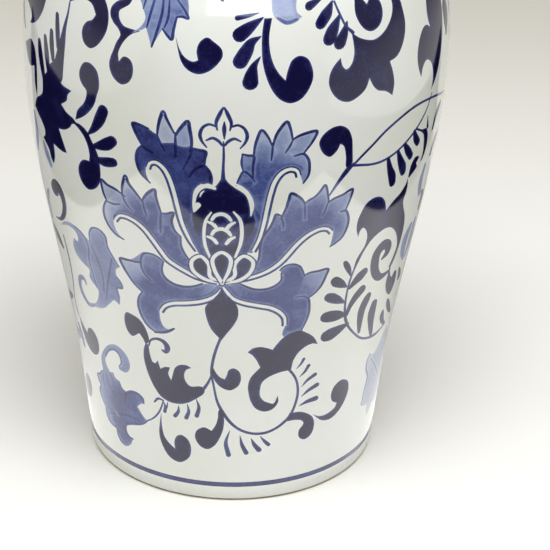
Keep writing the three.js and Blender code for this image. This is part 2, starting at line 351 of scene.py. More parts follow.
def lowerPetals():
    left = patch(blue, (-6, 137.5, 1), (-9, 138.4), (-14.1, 137.7, 1), (-18.2, 135.5), (-23.6, 134.5),
                 (-29.1, 135.6), (-32.8, 138.4), (-34.6, 142), (-34.1, 145.8), (-33.2, 148.2, 1),
                 (-36.4, 150.7), (-40, 151.9), (-44.1, 151.6), (-46.9, 149), (-50, 145.8), (-53.6, 143.8),
                 (-58.2, 143.2, 1), (-56.6, 139.5), (-53.6, 134.5), (-50, 130), (-45, 126, 1),
                 (-47.1, 122.4), (-47.9, 117.8), (-47.1, 113.3), (-45, 108.3), (-41.8, 104.2),
                 (-38, 101.6, 1), (-33.6, 102.8), (-30.4, 104.6), (-28, 107, 1), (-30.9, 105.6),
                 (-33.6, 107), (-35, 109.8), (-35.7, 114.2), (-35.4, 118.3), (-32.7, 121.9), (-28.2, 124.5),
                 (-21.8, 125.6), (-16.4, 127.4), (-12.3, 129.6), (-8.6, 132.4),
                 fade=(-34, 126, 16, 30, pale + 0.1))
    right = patch(blue, (-2, 137.5, 1), (4.1, 139.1), (7.3, 136.8), (11.8, 134.8), (17.3, 134.6),
                  (21.8, 136.4), (24.6, 139.5), (25.3, 142.7), (23.6, 145.9, 1), (25.9, 148.2), (30, 148.9),
                  (33.6, 147.3), (35.5, 143.6), (36.5, 140.6, 1), (39.1, 141.8), (43.6, 141.8),
                  (49.6, 141.6, 1), (48, 137.3), (45.6, 131.8), (41.8, 127.4), (38.6, 125.5, 1),
                  (39.6, 121), (39.6, 116), (38.4, 111.5), (36.4, 107.8), (35, 104), (31, 101), (26, 103.6),
                  (25.9, 107), (27.4, 111.5), (27.1, 116), (24.8, 119.6), (21.3, 122), (15.5, 124.2),
                  (8.2, 126.8), (2.7, 128.9), (-0.9, 132.4), fade=(30, 128, 16, 36, pale + 0.18))
    return [
        left,
        right,
        patch(pale - 0.06, (-57.6, 142.8, 1), (-53.6, 143.6), (-49, 143.9), (-45.4, 144.4, 1), (-45.3, 140),
              (-43, 136.6), (-40, 134.6, 1), (-46, 131), (-51, 132.6), (-55.4, 138),
              fade=(-52, 142, 3, 14, blue)),
        patch(pale, (49.4, 141.4, 1), (43.6, 141.5), (39, 141.6), (36.6, 140.4, 1), (34, 134),
              (33, 128.6, 1), (38.8, 126), (41.8, 127.8), (45.6, 132), (48, 137.4),
              fade=(45, 139, 3, 14, blue)),
        trimmed(line, 1.1, (-14, 137.8), (-18.2, 135.7), (-23.6, 134.7), (-29.1, 135.8), (-32.8, 138.6),
                (-34.3, 142.5), (-33.6, 148)),
        trimmed(line, 0.9, (-33.4, 148.2), (-36.4, 150.6), (-40, 151.6), (-44, 150.6), (-45.6, 146.6),
                (-45.4, 141.6), (-43, 137), (-39.6, 134.4)),
        trimmed(line, 1.2, (-45.2, 144.6), (-49, 144), (-53.6, 143.7), (-57.8, 143), (-56.4, 139.3),
                (-53.3, 134.5), (-49.8, 130), (-45.2, 126)),
        trimmed(line, 1.0, (-45, 126), (-47, 122.4), (-47.7, 117.8), (-46.9, 113.3), (-44.9, 108.5),
                (-41.7, 104.4), (-38, 102)),
        trimmed(line, 1.3, (-38.4, 101.9), (-33.6, 103.2), (-30.4, 105), (-28.2, 106.8)),
        *edging(blue, 1, (-4.4, 135.4), (-6, 132.4), (-9.2, 129.3), (-14.4, 126.6), (-21.8, 124.5),
                (-28.8, 122.9), (-33, 120.2), (-35, 116.6)),
        trimmed(line, 1.0, (4.3, 138.9), (7.5, 136.9), (11.8, 135), (17.3, 134.8), (21.8, 136.6),
                (24.5, 139.5), (24.6, 144)),
        trimmed(line, 0.9, (23.8, 145.9), (26, 148), (30, 148.7), (33.6, 147), (35.4, 143.6), (36.6, 140)),
        trimmed(line, 1.1, (36.4, 140.6), (39.1, 141.6), (43.6, 141.6), (49.2, 141.4), (48, 137.3),
                (45.6, 131.8), (41.8, 127.6), (38.7, 125.6)),
        trimmed(line, 0.9, (31.8, 127.4), (35.4, 127.4), (38.8, 125.3), (39.5, 121), (39.4, 116),
                (38.2, 111.5), (35.4, 105)),
        *edging(blue, -1, (-3.6, 136), (-2.3, 134), (0.9, 129.6), (5.5, 127), (12.7, 124.8), (19.6, 122.6),
                (24, 119.4), (26.6, 115.4), (27, 110.6)),
    ]


def seedPod():
    # the dark heart of the flower, its pod with a wiped-out scale pattern, and three wiped-round seeds
    behind = patch(blue + 0.06, (-15.6, 156.4, 1), (-19.4, 164), (-22.4, 174), (-22, 181), (-18, 186),
                   (-4.2, 190), (9, 186), (13.6, 180), (12.6, 172), (10.4, 164), (7.6, 157, 1), (12.8, 152),
                   (9.4, 144), (-4.2, 138.6, 1), (-14, 141), (-20.4, 144.4), (-21, 150))
    heart = patch(ink, (flowerAxis, 203.4, 1), (-6.6, 198.6), (-9.2, 195.6), (-13.4, 195.4), (-16.4, 191.6),
                  (-17.4, 186.6), (-18.8, 181), (-19, 176), (-16.6, 168), (-12.6, 160), (4, 160),
                  (8.6, 167.6), (11.6, 175), (10.6, 181), (9, 187.6), (6, 192.8), (1.2, 196.6),
                  (-1.8, 199.4), fade=(flowerAxis, 190, 17, 31, blue + 0.06))
    shapes = [
        behind,
        heart,
        stroke(bare, (-18, 181.4, 1), (-18.2, 186, 1.4), (-17.4, 191, 1.6), (-14.8, 195.4, 2),
               (-11.4, 197, 2.4), (-8.2, 195.6, 1.6)),
        stroke(bare, (-17.6, 182.2, 1.4), (-16.2, 185.4, 3)),
        stroke(bare, (-15.2, 190.4, 0.5), (-14.6, 192.2, 0.9), (-13.4, 193.8, 0.5)),
        stroke(bare, (1.4, 198.8, 0.7), (5, 196, 1.8), (8.2, 191.4, 2.2), (9.6, 186.4, 2.2),
               (9.3, 180.2, 0.7)),
        patch(ink - 0.06, (-10.4, 180), (-4.4, 183), (1.6, 181), (4.4, 175), (4.6, 167), (2.6, 157),
              (-4.2, 152), (-11, 156), (-13, 164), (-12.8, 174)),
        stroke(bare, (-9.8, 181.6, 0.8), (-12.2, 177, 1.5), (-13.2, 169.6, 1.6), (-12.6, 162, 1.6),
               (-10.2, 154.6, 1.2)),
        stroke(bare, (1, 182.4, 0.9), (4, 178, 1.7), (5, 171, 1.8), (4.4, 163.6, 1.7), (2, 155.4, 1.2)),
    ]
    for up in (181, 172.2):
        shapes += [
            stroke(bare, (-9.4, up - 3.6, 1.6), (-7.8, up - 1, 2), (-4.6, up, 2.1), (-1.8, up - 1.4, 2),
                   (-0.3, up - 3.6, 1.6)),
            stroke(bare, (-11.4, up - 5, 1.3), (-9, up - 6, 2), (-7, up - 8.6, 1.8)),
            stroke(bare, (1.5, up - 4.8, 1.3), (-0.6, up - 6.2, 2), (-2.4, up - 8.8, 1.8)),
            stroke(line, (-8.2, up - 5.4, 0.7), (-4.6, up - 2, 0.8), (-1.2, up - 5.2, 0.7)),
        ]
    seeds = (
        [(-4.2, 138.8), (-10, 142.6), (-10.8, 150), (-14.8, 154.8), (-19, 151.6), (-18.6, 145.8), (-13, 141)],
        [(-4.2, 138.8), (1.6, 143.4), (1.8, 151), (6, 155.9), (10.4, 152.6), (9.4, 146), (4.2, 141)],
        [(-4.2, 138.8), (-8, 147), (-8.8, 154), (-4.6, 158), (-0.4, 154.4), (-1, 147)],
    )
    for seed in seeds:
        shapes += [
            patch(ink, (*seed[0], 1), *seed[1:]),
            stroke(line, *((x, y, 3.4) for x, y in seed), (*seed[0], 2)),
            stroke(bare, *((x, y, 1.9) for x, y in seed), (*seed[0], 1)),
        ]
    return shapes


def fleur():
    side = [
        stroke(line, (-3.9, 239.4, 1), (-2.4, 236.2, 2), (-0.6, 231.4, 1.7), (-1.2, 227.6, 0.8)),
        stroke(line, (-0.4, 229.6, 1.2), (2.7, 230.4, 1.4), (5.6, 228.6, 1.6), (7, 224.8, 1.9),
               (6.2, 221.4, 1.5), (3.8, 218, 0.8)),
        stroke(line, (-3.6, 219.5, 1.2), (-1.8, 221.8, 1.7), (0.9, 223.2, 1.6), (4, 221.8, 0.9)),
    ]
    stem = [
        stroke(line, (flowerAxis, 221.4, 0.9), (-4, 214, 1.3), (-4.2, 207, 1.5), (flowerAxis, 200, 2.4)),
        stroke(line, (-3.9, 232, 0.7), (-3.9, 228.4, 2.2), (-3.8, 223, 0.7)),
    ]
    return side + mirrored(side, flowerAxis) + stem


def budAndStem():
    return [
        patch(ink, (flowerAxis, 136.4, 1), (-6.4, 131.8), (-9.6, 127.5), (-12.4, 123.3), (-12, 117.3),
              (-9.6, 109.6), (-5.6, 103.9), (-4.7, 102, 1), (-1.8, 107), (1.5, 112.4), (3.6, 118),
              (3.2, 124.4), (0, 129.6), (-2.6, 132.8)),
        stroke(line, (-5, 103.6, 1.5), (-7.4, 95, 1.5), (-8.7, 87.8, 1.6), (-9.2, 80.6, 1.4),
               (-8.2, 74, 1.2), (-6.2, 63, 1.4), (-3.6, 56.8, 1.8), (0.6, 50, 1.7), (5.4, 45.6, 1.6),
               (11, 43.2, 1.6), (17, 42.8, 1.7), (22.4, 44.5, 1.6), (27, 47.6, 1.7), (30.6, 51.6, 1.6),
               (33, 57, 1.5), (34.5, 64, 1.5), (34.2, 71, 1.4), (32.4, 76.6, 1.4), (29.4, 81.6, 1.6)),
        patch(ink, (-9.2, 87.4, 1), (-7.4, 82.6), (-5, 79), (-2.6, 77.6, 1), (-1.6, 80.4), (-0.8, 83.4),
              (1.5, 84.9), (4.3, 83), (5.4, 78.5), (4, 73.4), (0, 70.6), (-4.6, 72.5), (-7.8, 77),
              (-9.3, 82)),
        patch(ink, (-4.5, 59.4, 1), (-2.9, 53.8), (-3.1, 46.5), (-5, 40), (-7.5, 35.4), (-11, 32.9),
              (-14.6, 34.3), (-17.3, 39.3), (-16.5, 43.9), (-12.7, 46.4), (-9, 44.6, 1), (-7.2, 47.8),
              (-5.9, 52.9), (-5.7, 57)),
    ]


def dashes(tone, *ends):
    # short flicks from a thin start to a round end, each (along, up) to (along, up) with a bow and a width
    out = []
    for x0, y0, x1, y1, bow, width in ends:
        mx = (x0 + x1) / 2 - bow * (y1 - y0) / max(math.dist((x0, y0), (x1, y1)), 1)
        my = (y0 + y1) / 2 + bow * (x1 - x0) / max(math.dist((x0, y0), (x1, y1)), 1)
        out.append(stroke(tone, (x0, y0, 0.4), (mx, my, width * 0.75), (x1, y1, width)))
    return out


def footScrolls():
    acanthus = patch(ink, (-43.6, 94, 1), (-45, 88.7), (-45, 83.3), (-43.7, 76.9), (-41.8, 71.4),
                     (-39.2, 66), (-35.4, 61), (-31, 58.9), (-25.5, 58.8), (-20.8, 60.6), (-16.2, 64.3),
                     (-13, 67.6), (-12.3, 71.6, 1), (-15.5, 72), (-19.5, 71.3), (-21.9, 73.5), (-23, 77.8),
                     (-21.9, 81.4), (-19.3, 83.2, 1), (-21.8, 84.5), (-25.5, 83.9), (-27.8, 81.5),
                     (-29, 77), (-29.8, 73, 1), (-31.3, 76.9), (-30.4, 81.2, 1), (-33.2, 80.8),
                     (-35.6, 79, 1), (-37.1, 84, 1), (-38.6, 81.6), (-40.2, 82.4, 1), (-41.5, 87),
                     (-42.2, 92))
    bud = patch(ink, (-55, 109.3), (-51.4, 109.1), (-47.3, 107.5), (-44.8, 104.6), (-43, 101), (-41.8, 95),
                (-43.8, 92.6), (-45.2, 95.4), (-47.4, 98.3, 1), (-49.2, 96.6), (-51.6, 94.9), (-54, 96.4),
                (-55.7, 100), (-56.3, 105.6))
    rightLeaf = patch(ink, (8.4, 95, 1), (10.9, 97.3), (14.5, 98.1), (18.2, 97), (20.9, 95.6, 1),
                      (23.4, 99.4), (26.4, 102.8), (30, 104.8), (34.5, 105.6), (39.1, 102.8), (42.6, 99.2),
                      (45, 94, 1), (41.8, 95.2), (38.2, 94.3), (34.5, 91.4), (31.8, 86.8), (30.7, 81, 1),
                      (24.5, 80.3), (19.1, 78.1), (15.9, 75), (14.9, 70.5), (15, 66.4), (16.8, 63.3),
                      (19.5, 61.6), (21.8, 60.8), (23.9, 65.6, 1), (24.4, 62.4), (23.5, 59.6), (20.9, 57),
                      (17.3, 56.3), (13.2, 58.3), (10.5, 62.8), (9.1, 69.2), (8.9, 74), (10.3, 78.9),
                      (14.8, 84.8, 1), (13, 89.4), (10.8, 93))
    shapes = [
        acanthus,
        bud,
        rightLeaf,
        stroke(line, (-12.8, 71, 1.8), (-10.8, 75, 1.4), (-9.3, 79.4, 1)),
        stroke(line, (-42, 92, 1), (-40.8, 96, 1.3), (-37.3, 97.9, 1.8), (-33.6, 96.9, 2.5),
               (-31.7, 93.4, 3.2), (-32.9, 90.6, 2.4), (-34.6, 91.4, 1)),
        patch(ink, (-35.4, 51, 1), (-34.9, 42), (-33.6, 36.4), (-30.9, 32.8), (-27.8, 30.2, 1),
              (-28.2, 34.7), (-26.8, 38.5), (-24.4, 39.6), (-20.9, 37.2), (-19.3, 32), (-20.5, 26),
              (-25.5, 22.2), (-30.9, 24.3), (-35, 31), (-36.6, 37.5), (-36.2, 44.6)),
        stroke(line, (-44, 42.6, 0.8), (-40, 45.8, 1), (-37, 50, 1.1), (-35.2, 54.6, 1), (-34.2, 59, 0.7)),
        stroke(line, (-34, 58.8, 0.8), (-37, 59.2, 1.5), (-39.2, 56.4, 1)),
        patch(ink, (30.2, 53, 1), (35.5, 52.8), (40, 50.6), (43.5, 47), (44.5, 42), (42.8, 36.5),
              (39.1, 34.4), (35.9, 36.5), (35.7, 41), (38.2, 44.6), (36.9, 47), (33.2, 48.1),
              (29, 48.2, 1)),
        patch(ink, (43.4, 48.8, 1), (48, 46.2), (52.7, 46.2), (57.3, 48.2), (58.6, 50.6, 1), (55.4, 53),
              (54.4, 57), (56.2, 62), (60.9, 64.5), (65.5, 62), (66.8, 56.5), (64.6, 50), (60, 44.6),
              (54.5, 42), (49, 43.2)),
    ]
    shapes += dashes(line, (-34, 58, -33.4, 52, 0.6, 2), (-31.8, 58.4, -33.2, 53, 0.3, 1.4),
                     (-25.9, 57.6, -27.8, 50.8, 0.8, 2.3), (-21.4, 59.6, -21.9, 50.8, 1, 2.3),
                     (-16.8, 63.6, -16.5, 53, 1.2, 2.4), (0, 45, -0.4, 30, -1.6, 2.6),
                     (5.2, 42, 8.4, 31.2, -0.6, 2.5), (10.8, 40, 14.8, 32.6, -0.4, 2.9),
                     (15.4, 41, 19.6, 35.4, -0.2, 2.2), (33.6, 81, 37.4, 86.4, -0.4, 1.8),
                     (35.4, 75.2, 40.2, 81.4, -0.5, 2.1), (36.6, 68.5, 44, 74.4, 0.7, 2.5),
                     (36.6, 62.2, 45.4, 67.2, 0.6, 2.9), (35.4, 56.4, 45, 58.6, 0.6, 3.2))
    return shapes


def footLeaves():
    # two pale acanthus leaves low on the jar, one each side of the scrolls
    left = patch(blue + 0.02, (-43.2, 42.6, 1), (-46, 44.8), (-49.6, 49.6, 1), (-47.4, 52.2),
                 (-45.6, 53, 1), (-45.9, 55.8), (-48.4, 57.8), (-52, 58.5), (-55.5, 57.2), (-57.3, 56.2, 1),
                 (-59.5, 57.2), (-61.4, 60.8, 1), (-64.5, 61.6), (-66, 64.4, 1), (-68.6, 63.6), (-71, 66),
                 (-74.6, 62), (-76, 60.4, 1), (-78.2, 57.4), (-81.6, 56, 1), (-80, 52.6), (-77.6, 50.4, 1),
                 (-79.4, 46.5), (-78.9, 43.6, 1), (-76.2, 41), (-74.6, 38, 1), (-74, 34.6),
                 (-73.2, 32.6, 1), (-70, 29.8), (-65, 28.8, 1), (-64.2, 25), (-62, 21.6), (-58.6, 20.6),
                 (-55, 22.9), (-52.8, 28, 1), (-54.8, 27.4), (-57, 28.6), (-58.2, 32), (-57.2, 35),
                 (-53.6, 36.6), (-48.4, 38.4), fade=(-56, 42, 10, 36, pale + 0.06))
    return [
        left,
        stroke(pale + 0.14, (-72.4, 63, 5.4), (-73.8, 69, 3.8), (-71.8, 75.4, 2.4), (-67.6, 80.6, 2.6),
               (-62.4, 82.2, 3.8), (-57.8, 79, 4.8), (-56.4, 74, 5.4), (-58, 70.4, 4.6),
               (-60.4, 69.6, 2.4)),
        trimmed(line - 0.2, 0.9, (-61.4, 70.6), (-59.8, 73), (-60.6, 78), (-64.2, 80.2), (-68.6, 77.6),
                (-71.6, 72)),
        trimmed(line - 0.1, 1.0, (-43.6, 42.6), (-46.2, 40), (-50, 38.2), (-54, 36.8), (-57.6, 34.6),
                (-57.8, 30.6), (-55.6, 28), (-53, 27.6)),
        trimmed(line - 0.1, 1.1, (-45.6, 53), (-46.2, 56), (-49.6, 58), (-54, 57.4), (-57.4, 54),
                (-57.6, 49)),
        trimmed(line - 0.2, 0.8, (-50, 50), (-54, 47), (-60, 46.4), (-67, 48)),
        trimmed(line - 0.1, 0.9, (-48, 41), (-55, 41.4), (-63, 39), (-70, 36)),
        trimmed(line - 0.1, 1.0, (-75.8, 60.4), (-78.4, 57.2), (-80.8, 55.6), (-79.8, 52.6), (-77.8, 50.2),
                (-79.2, 46.4), (-78.4, 43.4), (-75, 38.6)),
        trimmed(line - 0.1, 1.0, (-74.4, 37.6), (-73, 32.6), (-70, 30), (-65.2, 28.8), (-64, 25),
                (-61.8, 22), (-58.6, 21)),
        trimmed(line - 0.2, 0.8, (-72.4, 61), (-70, 54), (-65, 49), (-58, 46.8)),
        trimmed(line - 0.2, 0.8, (-68.6, 63), (-66, 57), (-61, 52)),
        trimmed(line - 0.3, 0.8, (-74.6, 61.6), (-75, 55), (-72, 47), (-67, 41), (-62, 36)),
        patch(pale - 0.1, (83.8, 70.6, 1), (81.8, 68), (81, 64), (81.9, 58.6), (83.8, 55.2, 1),
              (82.2, 50.6), (80.4, 45.4), (79.4, 38.6, 1), (82, 37), (85.6, 35.8), (86.6, 30), (88.2, 27.4),
              (91, 30), (94, 32.6, 1), (100, 31), (107, 34), (112, 40), (110, 46), (104.6, 51, 1),
              (106, 54.6), (111, 52), (114, 58), (111, 66), (105, 76), (102, 80.4, 1), (98, 76.2), (93, 71),
              (88, 68.4), fade=(96, 52, 10, 26, pale - 0.16)),
        trimmed(line - 0.35, 1.0, (84, 70.4), (82, 67.6), (81.4, 62), (83.8, 55), (82, 49), (79.6, 39)),
        trimmed(line - 0.4, 0.8, (86, 66), (92, 58), (99, 48), (104, 38)),
    ]


def leftLeaves():
    leaf = patch(pale + 0.16, (-106, 142, 1), (-100, 147.4), (-94, 149.8), (-88, 149.8), (-82, 147.6),
                 (-77.6, 145, 1), (-77.9, 151), (-75.6, 155.4), (-71, 156.4), (-67, 154), (-65.4, 147.5),
                 (-61.5, 141.5), (-58.2, 137.3, 1), (-60.4, 135), (-60.3, 130.5), (-57.5, 127.4),
                 (-56.8, 123.7, 1), (-60.5, 122.8, 1), (-59, 117.5), (-59.1, 112.2, 1), (-62.5, 113.9),
                 (-65.5, 110.6), (-70, 105.4), (-76, 102.8), (-80.4, 103), (-77, 105.4), (-74.6, 109.4),
                 (-74, 115.6), (-77, 117.8), (-80.2, 121), (-80, 126), (-84, 127.5), (-90.5, 130.4),
                 (-93, 135), (-91.5, 141), (-88.6, 140.4), (-87.8, 143.6), (-90, 146.4), (-95.6, 146.8),
                 fade=(-68, 130, 18, 36, pale))
    maple = patch(ink, (-95.2, 236, 1), (-95.5, 231.6), (-87.4, 230.3, 1), (-90.3, 227), (-91, 224),
                  (-95.6, 220, 1), (-91.8, 217.3), (-86, 215.6), (-84, 213.6), (-87.3, 212.3), (-89, 209.8),
                  (-93.6, 206.6), (-98.4, 205.2, 1), (-95.4, 199.8), (-92.2, 193.8, 1), (-96, 193),
                  (-100.5, 193.4), (-104.1, 193.9, 1), (-103.6, 188.2), (-104.5, 183.6), (-105.9, 181.2, 1),
                  (-108.2, 184), (-110, 188.2), (-113, 190.2), (-116, 192.3, 1), (-113.6, 194.6),
                  (-113.4, 198), (-116.5, 201.2), (-120, 203), (-125.4, 206, 1), (-123.2, 210.5),
                  (-121.4, 212.7), (-118, 215), (-114.6, 218), (-113.6, 222), (-113.6, 227, 1), (-109, 232),
                  (-104, 239), (-98, 240))
    trunk = patch(ink, (-75.7, 196, 1), (-79.5, 195.3), (-82.5, 192), (-83.6, 187), (-81.5, 181.5),
                  (-77, 178.7), (-72.5, 180.7), (-69.5, 184.5), (-68.4, 189.5), (-68.5, 195), (-69.2, 200),
                  (-71, 204), (-73.6, 208), (-77, 212.4), (-82, 214.4), (-87, 213.6, 1), (-82, 211.2),
                  (-78.5, 208), (-76.2, 203.5), (-75.4, 199))
    plume = patch(ink, (-83.4, 221), (-82, 223.2), (-79, 226.6), (-77, 231), (-76.9, 234.4), (-79.3, 236.2),
                  (-81.5, 239.5), (-81.3, 243.8), (-78.5, 248.2), (-74.5, 249.2), (-70.4, 247),
                  (-68.9, 243.5), (-68.7, 238), (-70, 234), (-71.6, 228.8), (-75.6, 222.9), (-80, 218.8),
                  (-84.8, 215.7, 1))
    return [
        leaf,
        maple,
        trunk,
        plume,
        stroke(ink, (-117, 244.4, 4), (-115.8, 238.6, 5.4), (-113.2, 231, 4.6), (-110.6, 224, 3)),
        stroke(ink, (-110.6, 249.2, 3.4), (-109.2, 243, 4.8), (-107.6, 236, 4.2), (-106, 229, 3)),
        stroke(ink, (-104.4, 254.4, 3.4), (-104, 248, 4.4), (-102.6, 241, 3.2)),
        stroke(ink, (-99.8, 264.2, 3.2), (-99, 257, 4), (-98.2, 249, 3)),
        stroke(ink, (-89.8, 274.6, 0.9), (-91, 268, 1.5), (-93, 261, 2.6), (-94.4, 254, 4.4),
               (-96.4, 245, 6.6), (-98.6, 235, 9)),
        patch(ink, (-111.2, 268.6, 1), (-114.4, 261), (-119.6, 254.6), (-125.6, 250.4), (-131.6, 248, 1),
              (-129, 252.6), (-134, 255.6), (-141, 257), (-147, 261, 1), (-138, 265), (-126, 269.6)),
        stroke(ink, (-141.6, 241.6, 2), (-146.4, 246, 6), (-151, 251.6, 7)),
        patch(ink, (-121.6, 212.4, 1), (-120.6, 219), (-120.3, 228), (-121.4, 234.6), (-123.8, 239.2),
              (-128.4, 241), (-133, 239), (-141, 234, 1), (-136, 229.4), (-132.6, 226.4), (-128, 226.8),
              (-124.4, 228.6), (-124, 220)),
        stroke(ink, (-75.8, 211.2, 1.4), (-72, 215.6, 4.2), (-68.6, 221.4, 6.4), (-66.2, 227, 6.2)),
        stroke(ink, (-73.8, 205, 1.6), (-69, 206.8, 4.6), (-64.4, 209.2, 6.6), (-60.9, 212, 5.8)),
        stroke(ink, (-70.4, 198.9, 3), (-66.4, 198.8, 5.2), (-62.4, 199.8, 5.4), (-60.4, 200.4, 5)),
        trimmed(line - 0.1, 1.0, (-78, 145), (-78, 151), (-75.6, 155.2), (-71, 156.2), (-67, 153.8),
                (-65.5, 147.4), (-61.6, 141.4), (-58.6, 137.4)),
        trimmed(line - 0.2, 0.8, (-77.6, 145), (-73.6, 137), (-70, 127), (-69.4, 116)),
        trimmed(line - 0.2, 0.9, (-60.4, 130.4), (-57.7, 127.4), (-57, 124), (-60.3, 122.9), (-59.2, 117.5),
                (-59.4, 113)),
        trimmed(line - 0.2, 0.8, (-63, 141), (-64.6, 133), (-66.4, 124), (-68, 112)),
        trimmed(line - 0.1, 1.0, (-90, 149.4), (-84, 148), (-79.6, 142), (-79.6, 133), (-77, 124),
                (-74.6, 116.6)),
        stroke(pale + 0.2, (-78, 103.4, 2), (-82.7, 101.4, 3), (-87.4, 104.4, 3.4), (-90.2, 110, 3.4),
               (-89.4, 115.6, 3.6), (-86, 117.4, 3), (-83.8, 114.4, 1.6)),
        stroke(ink, (-110.6, 144.4, 1), (-104.5, 146.6, 2.2), (-99.8, 152.4, 3.8), (-98.4, 159.2, 4.4),
               (-100.6, 165.4, 6), (-105, 167.2, 9), (-107.6, 164.6, 9)),
        patch(ink, (-97.4, 86.4, 1), (-92.4, 82), (-88.4, 79, 1), (-86.8, 82.8), (-83, 84.7), (-78.6, 82),
              (-76.8, 75), (-79, 69.5), (-84, 67.5), (-90, 70.4), (-94.6, 77)),
        stroke(line, (-104, 136, 1.2), (-100.4, 124, 1.5), (-99, 110, 1.3), (-100.4, 94, 1.2),
               (-98, 86, 1.6)),
        stroke(ink, (-101, 77, 3.4), (-97.4, 72, 4.6), (-95.4, 66.4, 3)),
        stroke(ink, (-116, 91, 4), (-110, 92.4, 6.4), (-104.6, 95, 3)),
        stroke(ink, (-122, 133.6, 4), (-114, 130.6, 7.4), (-107.6, 126.6, 3.6)),
        stroke(ink, (-110, 35, 4), (-103, 34.6, 8), (-97, 38.4, 12.6), (-95.4, 41.6, 11)),
        stroke(pale, (-116, 189, 2.6), (-113, 184, 5.4), (-109.4, 178.8, 3.6)),
        stroke(pale + 0.1, (-112, 66, 5), (-106, 68.6, 8), (-99, 71.6, 4)),
        stroke(pale + 0.1, (-129, 180, 5), (-126, 190, 6), (-127.6, 201, 3)),
        stroke(pale + 0.1, (-118, 158, 3), (-122, 150, 6), (-120, 140, 5)),
    ]


